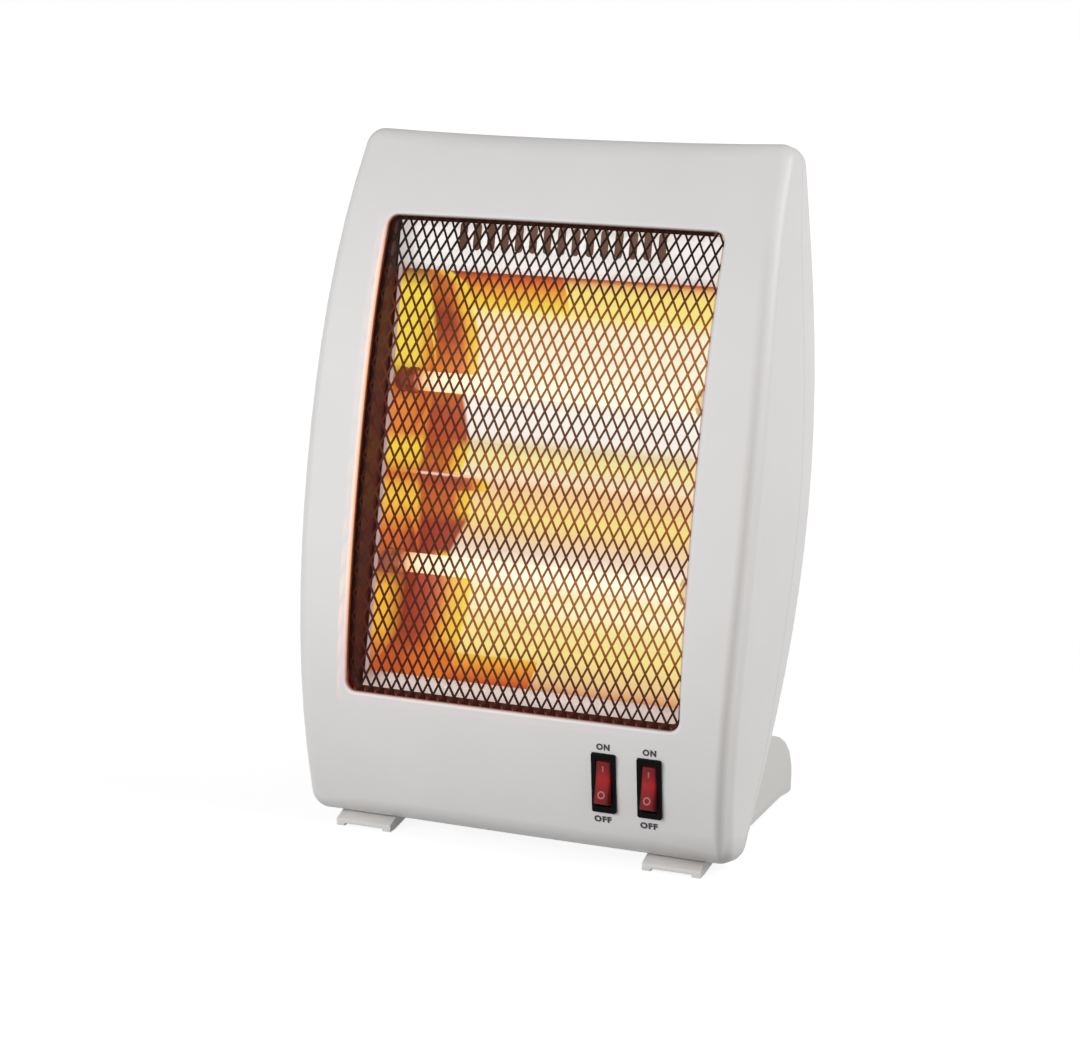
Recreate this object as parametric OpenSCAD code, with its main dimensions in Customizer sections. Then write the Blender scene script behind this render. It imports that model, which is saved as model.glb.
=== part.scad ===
// Two-tube quartz radiant heater on two screwed feet.
// The casing leans back. Everything inside it is drawn upright in the casing's own frame
// (X across, Y from front to back, Z along the lean) and is then leaned by in_casing().

/* [Casing] */
// Width at the widest point, halfway up
body_w = 265; // [240:1:330]
// Height measured along the lean
body_h = 384.6; // [350:0.2:460]
// Backward lean in degrees
lean = 12.8; // [9:0.1:15]
// How far the front face stands out halfway up
front_bulge = 32; // [24:1:38]
// How far the front face falls back from its middle to its sides
front_crown = 6; // [0:0.5:8]
// How much narrower the casing is at its ends than at its middle, each side
side_bow = 9.5; // [4:0.5:12]
// How much of that is given back at the corners, each side
side_flare = 2.4; // [0:0.1:3]
// How far the top edge is hollowed in its middle
top_dip = 2; // [0:0.1:4]
// Depth behind the front datum halfway up
back_mid = 72; // [66:1:90]
// How much shallower the back is at the ends
back_fall = 42; // [34:1:44]
// Wall thickness of both mouldings
wall = 2.4; // [2:0.1:3]
// Rounding between the front face and the sides
edge_side = 6.5; // [4:0.5:8.5]
// Rounding between the front face and the top and bottom
edge_end = 11; // [8:0.5:12]
// Rounding of the rear edge
edge_back = 8.5; // [6:0.5:8.5]
// Corner rounding of the outline
corner_r = 9; // [9:0.5:16]

/* [Window and guard] */
// Plain border beside the window
border_side = 32.3; // [28:0.1:40]
// Plain border above the window
border_top = 48.2; // [44:0.1:60]
// Plain border below the window, which carries the switches
border_bottom = 68.2; // [64:0.1:90]
// Corner radius of the window
window_r = 8; // [5:0.5:10]
// Rounding of the window's edge
lip_r = 2.5; // [1.5:0.1:3]
// Width of one diamond of the guard
diamond_w = 6.44; // [6:0.01:12]
// Height of one diamond of the guard
diamond_h = 12.74; // [10:0.01:20]
// Width of one guard strand
strand_w = 1; // [0.8:0.1:1.4]
// Thickness of one guard strand
strand_t = 0.9; // [0.6:0.1:1.2]

/* [Heating] */
// Depth of each reflector trough
trough_d = 28; // [22:1:30]
// Inward slope of the reflector's ends
end_slope = 13; // [8:0.5:16]
// Sheet thickness
sheet = 0.8; // [0.5:0.1:1.2]
// Outside diameter of a quartz tube
tube_d = 11; // [9:0.5:12]
// Distance of the tube axes behind the front datum
tube_y = 9; // [8:0.5:11]
// Number of cooling slots above the reflector
slot_count = 15; // [9:2:17]

/* [Switches] */
// Width of a switch's front flange
switch_w = 13.7; // [13.5:0.1:16]
// Height of a switch's front flange
switch_h = 33.7; // [31:0.1:35]
// Distance between the two switches
switch_pitch = 25.6; // [20:0.1:30]
// Distance from the casing's widest side to the outer switch
switch_inset = 50.1; // [46:0.1:60]
// Height of the switches along the lean
switch_z = 37.9; // [34:0.1:40]
// Rocker angle to either side of level, in degrees
rocker_tilt = 14; // [10:1:15]

/* [Feet] */
// Width of a foot
foot_w = 33.5; // [28:0.5:38]
// Centre of a foot from the middle of the heater
foot_x = 92; // [80:0.1:96]
// Length of a foot from its front edge to its rear end
foot_l = 157.5; // [140:0.5:180]
// Height of the hump behind the casing
foot_h = 52; // [44:1:54]

/* [Hidden] */
$fn = 48;
half_h = body_h / 2;
crown_k = front_crown / pow(body_w / 2, 2);
win_hw = body_w / 2 - border_side;      // half width of the window
win_z0 = border_bottom;
win_z1 = body_h - border_top;
lip_d = 3.4;                            // depth of the window's lip
guard_d = lip_d + 0.3;                  // from the front face to the front of the guard
layer_gap = 0.05;                       // between the two layers of strands
guard_back = guard_d + 2 * strand_t + layer_gap;
guard_in = 4.2;                         // how far the strands run behind the border
ref_hw = win_hw - 5.2;                  // half width of the reflector at its front
ref_z0 = win_z0 + 13.1;
ref_z1 = win_z1 - 30.1;
ridge_z = (ref_z0 + ref_z1) / 2;
trough_h = (ref_z1 - ref_z0) / 4;       // half height of one trough
tube_off = trough_h - 5.5;              // tubes sit toward the ridge
tube_zs = [ridge_z + tube_off, ridge_z - tube_off];
cap_r = tube_d / 2 + 1;
end_len = 30;                           // depth of the reflector's end walls
mount_x = win_hw + 11.5;                // inner bosses
mount_zs = [ref_z0 + 10, ref_z1 - 10];
flange_x = mount_x + 4.7;
boss_x = body_w / 2 - 20.5;             // casing screw bosses
boss_zs = [30, body_h - 30];
ends_z = [win_z0 - 5, win_z1 + 5];      // reach of the end plates' flanges
slot_pitch = 8.35;
slot_r = 2.3;
switch_xs = [body_w / 2 - switch_inset - switch_pitch, body_w / 2 - switch_inset];
body_lift = 9.8;                        // height of the front datum above the floor
fit = 0.3;                              // clearance between separate mouldings
seam_gap = 0.15;                        // between the two halves of the casing
seam_soft = 1.5;                        // rounding where the seam meets the line of the rear edge

n_side = 16;
n_corner = 6;
n_end = 10;
n_loop = 2 * (n_side + n_end + 2) + 4 * (n_corner - 1);

// ---- shape of the casing ----
function q(z) = (z - half_h) / half_h;
function front_n(z) = front_bulge * (1 - 0.49 * pow(q(z), 2) - 0.51 * pow(q(z), 4));
function front_y(x, z) = crown_k * x * x - front_n(z);
function front_slope(z) = front_bulge * (-0.98 * q(z) - 2.04 * pow(q(z), 3)) / half_h;
function half_w(z) = body_w / 2 - side_bow * pow(q(z), 2) + side_flare * pow(q(z), 6);
function side_angle(z) = atan((2 * side_bow * q(z) - 6 * side_flare * pow(q(z), 5)) / half_h);
function back_y(z) = back_mid - back_fall * pow(q(z), 2);
function back_slope(z) = -2 * back_fall * q(z) / half_h;

// The seam lies well back halfway up, swings forward toward the top, and follows the rear edge below
function seam_line(z) = back_mid * 2 / 3 - back_fall * (q(z) > 0 ? 0.667 : 0.24) * (1 - cos(180 * q(z))) / 2;
function seam_limit(z) = back_y(z) - edge_back - 1;
function seam_y(z) =
    let (a = seam_line(z), b = seam_limit(z)) min(a, b) - seam_soft * ln(1 + exp(-abs(a - b) / seam_soft));

// Rounding of the front edge at a point of the outline: larger along the top and bottom, least round the corners
function edge_r(p) =
    edge_side + (edge_end - edge_side) * pow(sin(p[2]), 2) * max(0, 1 - pow(p[0] / corner_x, 4));

// ---- loops of [x, z, outward angle], anticlockwise from the front ----
function arc_part(cx, cz, r, a0, a1) =
    [for (j = [1:n_corner - 1]) let (a = a0 + (a1 - a0) * j / n_corner)
        [cx + r * cos(a), cz + r * sin(a), a]];

function run_part(p0, p1, a, n) =
    [for (i = [0:n]) [p0[0] + (p1[0] - p0[0]) * i / n, p0[1] + (p1[1] - p0[1]) * i / n, a]];

function window_loop(hw, z0, z1, r) = concat(
    run_part([hw, z0 + r], [hw, z1 - r], 0, n_side),
    arc_part(hw - r, z1 - r, r, 0, 90),
    run_part([hw - r, z1], [r - hw, z1], 90, n_end),
    arc_part(r - hw, z1 - r, r, 90, 180),
    run_part([-hw, z1 - r], [-hw, z0 + r], 180, n_side),
    arc_part(r - hw, z0 + r, r, 180, 270),
    run_part([r - hw, z0], [hw - r, z0], 270, n_end),
    arc_part(hw - r, z0 + r, r, 270, 360));

corner_a = side_angle(body_h - corner_r);
side_z0 = corner_r * (1 - sin(corner_a));
corner_x = half_w(side_z0) - corner_r * cos(corner_a);

function side_part(s) =
    [for (i = [0:n_side])
        let (f = s > 0 ? i / n_side : 1 - i / n_side, z = side_z0 + (body_h - 2 * side_z0) * f)
        [s * half_w(z), z, s > 0 ? side_angle(z) : 180 - side_angle(z)]];

function top_part() =
    [for (p = run_part([corner_x, body_h], [-corner_x, body_h], 90, n_end))
        [p[0], body_h - top_dip * (1 - pow(p[0] / corner_x, 2)), 90 + atan(2 * top_dip * p[0] / pow(corner_x, 2))]];

outline = concat(
    side_part(1),
    arc_part(corner_x, body_h - corner_r, corner_r, corner_a, 90),
    top_part(),
    arc_part(-corner_x, body_h - corner_r, corner_r, 90, 180 - corner_a),
    side_part(-1),
    arc_part(-corner_x, corner_r, corner_r, 180 + corner_a, 270),
    run_part([-corner_x, 0], [corner_x, 0], 270, n_end),
    arc_part(corner_x, corner_r, corner_r, 270, 360 - corner_a));

window = window_loop(win_hw, win_z0, win_z1, window_r);

// A point of a loop moved inward by d, as [x, z]
function inward(p, d) = [p[0] - d * cos(p[2]), p[1] - d * sin(p[2])];
function on_front(p, d) = [p[0], front_y(p[0], p[1]) + d, p[1]];
function blend(a, b, f) = [a[0] + (b[0] - a[0]) * f, a[1] + (b[1] - a[1]) * f];

// Triangles between neighbouring sections, each m points long, for columns js
function skin(m, js) =
    [for (i = [0:n_loop - 1], j = js)
        let (k = (i + 1) % n_loop, l = (j + 1) % m,
             a = i * m + j, b = k * m + j, c = k * m + l, d = i * m + l)
        each [[a, b, c], [a, c, d]]];

module ring_solid(sections) {
    m = len(sections[0]);
    polyhedron(points = [for (s = sections) each s], faces = skin(m, [0:m - 1]), convexity = 8);
}

// ---- section of the front moulding, from the window's lip round to the seam and back ----
face_steps = 4;

function front_section(o, w) =
    let (r = edge_r(o), ri = r - wall, rim = inward(o, r))
    concat(
        [on_front(inward(w, lip_r), lip_d)],
        [for (f = [90, 60, 30, 0]) on_front(inward(w, lip_r * sin(f)), lip_r * (1 - cos(f)))],
        [for (k = [1:face_steps - 1]) on_front(blend(w, rim, k / face_steps), 0)],
        [for (f = [0:18:90]) on_front(inward(o, r * (1 - sin(f))), r * (1 - cos(f)))],
        [[o[0], seam_y(o[1]), o[1]]],
        [let (p = inward(o, wall)) [p[0], seam_y(o[1]), p[1]]],
        [for (f = [90:-30:0]) on_front(inward(o, wall + ri * (1 - sin(f))), wall + ri * (1 - cos(f)))],
        [for (k = [face_steps - 1:-1:1]) on_front(blend(w, rim, k / face_steps), wall)],
        [on_front(inward(w, -2), wall), on_front(inward(w, -1.2), lip_d)]);

// ---- section of the rear moulding: outside from the seam to the flat field, then back inside ----
field = window_loop(body_w / 2 - 34, 34, body_h - 34, 12);

function on_back(p, d) = [p[0], back_y(p[1]) - d, p[1]];

function rear_section(o, v) =
    let (r = edge_back, ri = edge_back - wall)
    concat(
        [[o[0], seam_y(o[1]) + seam_gap, o[1]]],
        [for (f = [0:18:90]) on_back(inward(o, r * (1 - cos(f))), r * (1 - sin(f)))],
        [on_back(v, 0), on_back(v, wall)],
        [for (f = [90:-30:0]) on_back(inward(o, wall + ri * (1 - cos(f))), wall + ri * (1 - sin(f)))],
        [let (p = inward(o, wall)) [p[0], seam_y(o[1]) + seam_gap, p[1]]]);

// Strips across the field from its right side to its left, which close the dish
last_right = n_side + n_corner - 1;
first_low = n_loop - n_corner + 1;

function across(i) = (2 * n_side + 2 * n_corner + n_end - i + n_loop) % n_loop;

function field_faces(m, j, flip) =
    [for (f = concat(
            [[for (i = [first_low - n_end - 2:first_low]) i]],
            [for (s = [0:n_side + 2 * n_corner - 3])
                let (i = (first_low + s) % n_loop, k = (i + 1) % n_loop) [i, k, across(k), across(i)]],
            [[for (i = [last_right:last_right + n_end + 2]) i]]))
        let (g = [for (i = f) i * m + j])
        flip ? [for (i = [len(g) - 1:-1:0]) g[i]] : g];

// ---- helpers ----
module in_casing() {
    translate([0, -centre_y, body_lift]) rotate([-lean, 0, 0]) children();
}

// Extrudes a profile given as [y, z] points from x0 to x1
module slab(x0, x1, pts) {
    translate([x0, 0, 0]) rotate([90, 0, 90]) linear_extrude(x1 - x0) polygon(pts);
}

// A cylinder along Y from y0 to y1
module rod_y(x, z, y0, y1, r) {
    translate([x, y0, z]) rotate([-90, 0, 0]) cylinder(r = r, h = y1 - y0);
}

// A cylinder along X from x0 to x1
module rod_x(x0, x1, y, z, r) {
    translate([x0, y, z]) rotate([0, 90, 0]) cylinder(r = r, h = x1 - x0);
}

module both_sides() {
    children();
    mirror([1, 0, 0]) children();
}

// A post of the front moulding that rises from its inner face to y_end, with a pilot hole
module post(x, z, y_end, r, bore) {
    difference() {
        rod_y(x, z, front_y(x, z) + wall / 2 + abs(front_slope(z)) * r, y_end, r);
        rod_y(x, z, y_end - 9, y_end + 1, bore);
    }
}

// ---- casing ----
casing_colour = [0.88, 0.88, 0.87];
pilot_r = 1.25;
shank_r = 1.2;
screw_r = 1.5;
head_r = 3;
foot_screw_xs = [foot_x - 9, foot_x + 9];
foot_screw_y = 16;
foot_boss_r = 3.7;
block_x = -44;
tip_x = 0;
tip_z = 46;
tip_post_xs = [tip_x - 14, tip_x + 14];
block_post_xs = [block_x - 12, block_x + 12];
low_post_z = 38;

module front_casing() {
    color(casing_colour) union() {
        difference() {
            ring_solid([for (i = [0:n_loop - 1]) front_section(outline[i], window[i])]);
            for (x = switch_xs) at_switch(x) {
                translate([-switch_w / 2 - 0.1, -1, -switch_h / 2 - 0.1])
                    cube([switch_w + 0.2, 1 + flange_sink, switch_h + 0.2]);
                translate([-switch_body_w / 2 - 0.2, -1, -switch_body_h / 2 - 0.2])
                    cube([switch_body_w + 0.4, 9, switch_body_h + 0.4]);
            }
            for (s = [-1, 1], x = foot_screw_xs)
                translate([s * x, foot_screw_y, -1]) cylinder(r = pilot_r, h = 12);
        }
        for (x = [-boss_x, boss_x], z = boss_zs) post(x, z, seam_y(z) - 0.5, 5, pilot_r);
        for (x = [-mount_x, mount_x], z = mount_zs) post(x, z, -sheet, 4.2, pilot_r);
        for (x = block_post_xs) post(x, low_post_z, 2, 3, 1);
        for (x = tip_post_xs) post(x, low_post_z, 2, 3, 1);
        for (s = [-1, 1], x = foot_screw_xs) difference() {
            translate([s * x, foot_screw_y, wall / 2]) cylinder(r = foot_boss_r, h = 12);
            translate([s * x, foot_screw_y, 0]) cylinder(r = pilot_r, h = 14);
        }
    }
}

// Rows of cooling slots: [height of the lowest row, number of rows]
slot_fields = [[body_h - 150, 8], [62, 6]];
row_pitch = 11;
row_h = 5;
slot_cols = [-46, 0, 46];
slot_w = 40;
gland_x = -57;
gland_z = 44;
gland_hole_r = 6;

module at_back(x, z) {
    translate([x, back_y(z), z]) rotate([-atan(back_slope(z)), 0, 0]) children();
}

module rear_cover() {
    m = 14;
    secs = [for (i = [0:n_loop - 1]) rear_section(outline[i], field[i])];
    color(casing_colour) difference() {
        union() {
            difference() {
                polyhedron(
                    points = [for (s = secs) each s],
                    faces = concat(skin(m, [for (j = [0:m - 1]) if (j != 7) j]),
                        field_faces(m, 7, false), field_faces(m, 8, true)),
                    convexity = 8);
                for (g = slot_fields, i = [0:g[1] - 1], x = slot_cols)
                    translate([x - slot_w / 2, back_y(g[0] + i * row_pitch) - 9, g[0] + i * row_pitch - row_h / 2])
                        cube([slot_w, 14, row_h]);
            }
            for (x = [-boss_x, boss_x], z = boss_zs)
                rod_y(x, z, seam_y(z), back_y(z) - wall / 2 - abs(back_slope(z)) * 5, 5);
        }
        for (x = [-boss_x, boss_x], z = boss_zs) {
            rod_y(x, z, seam_y(z) - 1, back_y(z) + 4, screw_r + 0.3);
            rod_y(x, z, seam_y(z) + 4, back_y(z) + 4, head_r + 0.4);
        }
        at_back(gland_x, gland_z) translate([0, -8, 0]) rotate([-90, 0, 0]) cylinder(r = gland_hole_r, h = 12);
    }
}

module casing_screws() {
    color([0.6, 0.6, 0.62])
        for (x = [-boss_x, boss_x], z = boss_zs) {
            rod_y(x, z, seam_y(z) - 8, seam_y(z) + 4.2, shank_r);
            rod_y(x, z, seam_y(z) + 4, seam_y(z) + 6, head_r);
        }
}

module cord_gland() {
    color([0.12, 0.12, 0.12]) at_back(gland_x, gland_z) rotate([-90, 0, 0]) difference() {
        union() {
            translate([0, 0, -wall - 1.5]) cylinder(r = gland_hole_r + 1.2, h = 1.4);
            translate([0, 0, -wall - 0.6]) cylinder(r = gland_hole_r - 0.1, h = wall + 1);
            translate([0, 0, 0.1]) cylinder(r = gland_hole_r + 2.5, h = 2.4);
            translate([0, 0, 2.4]) cylinder(r1 = gland_hole_r - 0.4, r2 = gland_hole_r - 1.6, h = 9);
        }
        translate([0, 0, -6]) cylinder(r = 3.6, h = 20);
    }
}

// ---- guard ----
mesh_hw = win_hw + guard_in;
mesh_z = [win_z0 - guard_in, win_z1 + guard_in];
mesh_mid = (mesh_z[0] + mesh_z[1]) / 2;
diag_a = atan(diamond_w / diamond_h);
mesh_steps = 12;
mesh_shift = [-0.425, -0.358];          // where the sheet was cut, in diamonds, for each direction of strands
mesh_stations = [for (j = [0:mesh_steps]) mesh_z[0] + (mesh_z[1] - mesh_z[0]) * j / mesh_steps];

// The front face as straight steps between the stations, shared by both layers
function stepped_n(z) =
    let (f = (z - mesh_z[0]) / (mesh_z[1] - mesh_z[0]) * mesh_steps,
         j = min(mesh_steps - 1, max(0, floor(f))))
    front_n(mesh_stations[j]) + (front_n(mesh_stations[j + 1]) - front_n(mesh_stations[j])) * (f - j);

module strand(x0, s, d) {
    reach = [for (e = [-mesh_hw, mesh_hw]) mesh_mid + s * (e - x0) * diamond_h / diamond_w];
    lo = max(mesh_z[0], min(reach));
    hi = min(mesh_z[1], max(reach));
    if (hi - lo > 3) {
        zs = concat([lo], [for (z = mesh_stations) if (z > lo + 1 && z < hi - 1) z], [hi]);
        pts = [for (z = zs)
            let (x = x0 + s * (z - mesh_mid) * diamond_w / diamond_h)
            [crown_k * x * x - stepped_n(z) + d, (z - mesh_mid) / cos(diag_a)]];
        translate([x0, 0, mesh_mid]) rotate([0, s * diag_a, 0])
            slab(-strand_w / 2, strand_w / 2, concat(pts,
                [for (i = [len(pts) - 1:-1:0]) [pts[i][0] + strand_t, pts[i][1]]]));
    }
}

module strand_layer(s, d, shift) {
    n = ceil((mesh_hw + (mesh_z[1] - mesh_z[0]) / 2 * tan(diag_a)) / diamond_w);
    for (i = [-n:n + 1]) strand((i + shift) * diamond_w, s, d);
}

module guard_front_strands() {
    color([0.06, 0.06, 0.06]) strand_layer(1, guard_d, mesh_shift[0]);
}

module guard_rear_strands() {
    color([0.06, 0.06, 0.06]) strand_layer(-1, guard_d + strand_t + layer_gap, mesh_shift[1]);
}

rim_t = 0.7;
rim_gap = [0.15, 0.4];                  // clear of the strands in front and behind
rim_out = 1.4;                          // from the strands' ends to the outside of the rim
rim_leg = 3.4;
rim_in = mesh_hw + rim_out - (win_hw - lip_r - 0.8);
rim_d = [guard_d - rim_gap[0], guard_back + rim_gap[1]];

function rim_section(g) = [
    on_front(inward(g, rim_leg), rim_d[0] - rim_t), on_front(inward(g, 0), rim_d[0] - rim_t),
    on_front(inward(g, 0), rim_d[1] + rim_t), on_front(inward(g, rim_in), rim_d[1] + rim_t),
    on_front(inward(g, rim_in), rim_d[1]), on_front(inward(g, rim_t), rim_d[1]),
    on_front(inward(g, rim_t), rim_d[0]), on_front(inward(g, rim_leg), rim_d[0])];

module guard_frame() {
    loop = window_loop(mesh_hw + rim_out, mesh_z[0] - rim_out, mesh_z[1] + rim_out, 2);
    color([0.07, 0.07, 0.07]) ring_solid([for (g = loop) rim_section(g)]);
}

// ---- reflector and its sheet-metal surround ----
reflector_colour = [0.85, 0.8, 0.7];

function trough_y(z) =
    let (c = z > ridge_z ? ridge_z + trough_h : ridge_z - trough_h)
    trough_d * (1 - pow((z - c) / trough_h, 2));

trough_steps = 28;
trough_line = [for (i = [0:trough_steps])
    let (z = ref_z0 + (ref_z1 - ref_z0) * i / trough_steps) [trough_y(z), z]];

module reflector() {
    x1 = ref_hw - 0.3;
    color(reflector_colour) intersection() {
        slab(-ref_hw, ref_hw, concat(trough_line,
            [for (i = [trough_steps:-1:0]) [trough_line[i][0] + 1, trough_line[i][1]]]));
        linear_extrude(body_h) polygon([[-x1, -1], [x1, -1], [x1, 0],
            [x1 - end_slope, end_len], [end_slope - x1, end_len], [-x1, 0]]);
    }
}

// Sloping end wall of the reflector with the flange that is screwed to the casing
module reflector_end() {
    color(reflector_colour) difference() {
        union() {
            translate([0, 0, ref_z0]) linear_extrude(ref_z1 - ref_z0)
                polygon([[ref_hw, 0], [ref_hw + sheet, 0],
                    [ref_hw + sheet - end_slope, end_len], [ref_hw - end_slope, end_len]]);
            translate([ref_hw, 0, ends_z[0]]) cube([flange_x - ref_hw, sheet, ends_z[1] - ends_z[0]]);
        }
        for (z = tube_zs) rod_x(ref_hw - 40, ref_hw + 4, tube_y, z, cap_r + 0.5);
        for (z = mount_zs) rod_y(mount_x, z, -2, 3, screw_r + 0.2);
    }
}

module reflector_end_right() {
    reflector_end();
}

module reflector_end_left() {
    mirror([1, 0, 0]) reflector_end();
}

// Plate above the reflector: cooling slots, and an upper edge curled forward
curl_r = 6;

module slotted_plate() {
    z_curl = win_z1 - 3;
    color([0.86, 0.86, 0.85]) difference() {
        slab(-ref_hw - 2, ref_hw + 2, concat(
            [[-sheet, ref_z1], [0, ref_z1]],
            [for (a = [0:15:75]) [curl_r * (cos(a) - 1), z_curl + curl_r * sin(a)]],
            [for (a = [75:-15:0]) [(curl_r - sheet) * cos(a) - curl_r, z_curl + (curl_r - sheet) * sin(a)]]));
        for (i = [0:slot_count - 1]) {
            x = (i - (slot_count - 1) / 2) * slot_pitch;
            for (z = [ref_z1 + 14, z_curl - slot_r]) rod_y(x, z, -2, 1, slot_r);
            translate([x - slot_r, -2, ref_z1 + 14]) cube([2 * slot_r, 3, z_curl - slot_r - ref_z1 - 14]);
        }
    }
}

module lower_plate() {
    color([0.86, 0.86, 0.85])
        translate([-ref_hw - 2, -sheet, ends_z[0]]) cube([2 * ref_hw + 4, sheet, ref_z0 - ends_z[0]]);
}

// Side wall between the guard and the reflector
module side_shield() {
    x0 = win_hw - 1.8;
    zs = [for (j = [0:10]) win_z0 + (win_z1 - win_z0) * j / 10];
    front = rim_d[1] + rim_t + 0.5;
    color([0.2, 0.11, 0.08]) difference() {
        union() {
            slab(x0, x0 + sheet, concat([[0, win_z1], [0, win_z0]],
                [for (z = zs) [front_y(x0, z) + front, z]]));
            translate([x0, -sheet, ref_z0]) cube([flange_x - x0, sheet, ref_z1 - ref_z0]);
        }
        for (z = mount_zs) rod_y(mount_x, z, -3, 3, screw_r + 0.2);
    }
}

module side_shields() {
    both_sides() side_shield();
}

module mount_screws() {
    color([0.6, 0.6, 0.62])
        for (x = [-mount_x, mount_x], z = mount_zs) {
            rod_y(x, z, -7, sheet + 0.1, shank_r);
            rod_y(x, z, sheet, sheet + 2, head_r);
        }
}

// ---- heating tubes ----
tube_end = ref_hw - 6;                  // the glass ends inside its caps
cap_x = [ref_hw - 11.6, ref_hw + 9];
coil_turns = 24;
coil_r = 2.6;
wire_r = 0.5;
coil_len = 2 * tube_end - 24;

module quartz_tube(z) {
    color([0.98, 0.93, 0.8]) difference() {
        rod_x(-tube_end, tube_end, tube_y, z, tube_d / 2);
        rod_x(-tube_end - 1, tube_end + 1, tube_y, z, tube_d / 2 - 1);
    }
}

module upper_tube() {
    quartz_tube(tube_zs[0]);
}

module lower_tube() {
    quartz_tube(tube_zs[1]);
}

// One unbroken coil along X, swept as rings of six points
rings_a_turn = 12;
ring_sides = 6;

coil_rings = coil_turns * rings_a_turn;
coil_pitch = coil_len / coil_turns;
tail_l = cap_x[1] - coil_len / 2 - 2;

// Centre line of one element with its tails, and the least gap between parts of it half a turn or more apart
element_line = concat(
    [for (x = [-tail_l:2:-1]) [x - coil_len / 2, coil_r, 0]],
    [for (i = [0:coil_rings]) let (a = 360 * i / rings_a_turn)
        [coil_pitch * i / rings_a_turn - coil_len / 2, coil_r * cos(a), coil_r * sin(a)]],
    [for (x = [1:2:tail_l]) [x + coil_len / 2, coil_r, 0]]);
coil_gap = min([for (i = [0:len(element_line) - 1], j = [i + rings_a_turn / 2:1:len(element_line) - 1])
    norm(element_line[i] - element_line[j])]) - 2 * wire_r;
echo(coil_gap = coil_gap);

module coil() {
    n = coil_rings;
    pitch = coil_pitch;
    climb = atan(pitch / (2 * PI * coil_r));
    pts = [for (i = [0:n], k = [0:ring_sides - 1])
        let (a = 360 * i / rings_a_turn, b = 360 * k / ring_sides,
             r = coil_r + wire_r * cos(b), t = wire_r * sin(b))
        [-coil_len / 2 + pitch * i / rings_a_turn + t * cos(climb),
         r * cos(a) + t * sin(climb) * sin(a),
         r * sin(a) - t * sin(climb) * cos(a)]];
    polyhedron(
        points = pts,
        faces = concat(
            [[for (k = [ring_sides - 1:-1:0]) k]],
            [for (i = [0:n - 1], k = [0:ring_sides - 1])
                let (l = (k + 1) % ring_sides, a = i * ring_sides, b = a + ring_sides)
                each [[a + k, b + l, b + k], [a + k, a + l, b + l]]],
            [[for (k = [0:ring_sides - 1]) n * ring_sides + k]]));
}

// Heating coil with a straight tail into each cap
module element(z) {
    color([1, 0.55, 0.15]) union() {
        translate([0, tube_y, z]) coil();
        for (s = [-1, 1]) translate([s * (coil_len / 2), tube_y + coil_r, z]) rotate([0, s * 90, 0])
            cylinder(r = wire_r * 0.9, h = tail_l);
    }
}

module upper_element() {
    element(tube_zs[0]);
}

module lower_element() {
    element(tube_zs[1]);
}

// Ceramic cap on each end of a tube
module cap_pair(z) {
    color([0.9, 0.87, 0.8]) both_sides() difference() {
        rod_x(cap_x[0], cap_x[1], tube_y, z, cap_r);
        rod_x(cap_x[0] - 1, tube_end + 0.1, tube_y, z, tube_d / 2 + 0.02);
        rod_x(tube_end - 1, cap_x[1] + 1, tube_y, z, coil_r + 1);
    }
}

module upper_tube_caps() {
    cap_pair(tube_zs[0]);
}

module lower_tube_caps() {
    cap_pair(tube_zs[1]);
}

// Spring clip round a cap, with a tab behind it that lies along the reflector's end wall
clip_t = 0.8;
clip_w = 4;
clip_gap = 0.2;
tab_h = 5;
tab_l = 8;

function end_wall_x(y) = ref_hw - end_slope * y / end_len;

module clip_pair(z) {
    x0 = cap_x[0] + 0.4;
    back = tube_y + cap_r + 0.1 + clip_t;
    inset = clip_gap / cos(atan(end_slope / end_len));
    tab = [for (y = [back - 2 * clip_t, back + tab_l]) [end_wall_x(y) - inset, y]];
    color([0.45, 0.2, 0.14]) both_sides() difference() {
        union() {
            rod_x(x0, x0 + clip_w, tube_y, z, cap_r + 0.1 + clip_t);
            translate([0, 0, z - tab_h / 2]) linear_extrude(tab_h) polygon([
                tab[0], tab[1], [tab[1][0] - clip_t, tab[1][1]],
                [tab[0][0] - 3 * clip_t, back], [tab[0][0] - 3 * clip_t, back - 2 * clip_t]]);
        }
        rod_x(x0 - 1, ref_hw, tube_y, z, cap_r + 0.1);
        translate([x0 - 1, tube_y - cap_r - 2, z - 3]) cube([clip_w + 2, cap_r, 6]);
    }
}

module upper_tube_clips() {
    clip_pair(tube_zs[0]);
}

module lower_tube_clips() {
    clip_pair(tube_zs[1]);
}

// ---- switches ----
flange_t = 1.8;
flange_sink = 0.6;
switch_body_w = switch_w - 2.2;
switch_body_h = switch_h - 4;
switch_depth = 20;
rocker_w = 7.8;
rocker_r = 13;
pivot_d = 4.5;                          // pivot below the flange's front
trunnion_r = 1.2;
trunnion_l = 1.1;
rocker_crest = 5.5;                     // height of a rocker's middle above its pivot
rocker_brow = 7;                        // height of its ends
switch_front = flange_sink - flange_t;
opening_w = rocker_w + 0.7;
opening_h = 2 * rocker_r + 0.7;

// Frame of a switch: Y points into the casing, and y = 0 is on the front face
module at_switch(x) {
    translate([x, front_y(x, switch_z), switch_z]) rotate([atan(front_slope(switch_z)), 0, 0]) children();
}

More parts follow.
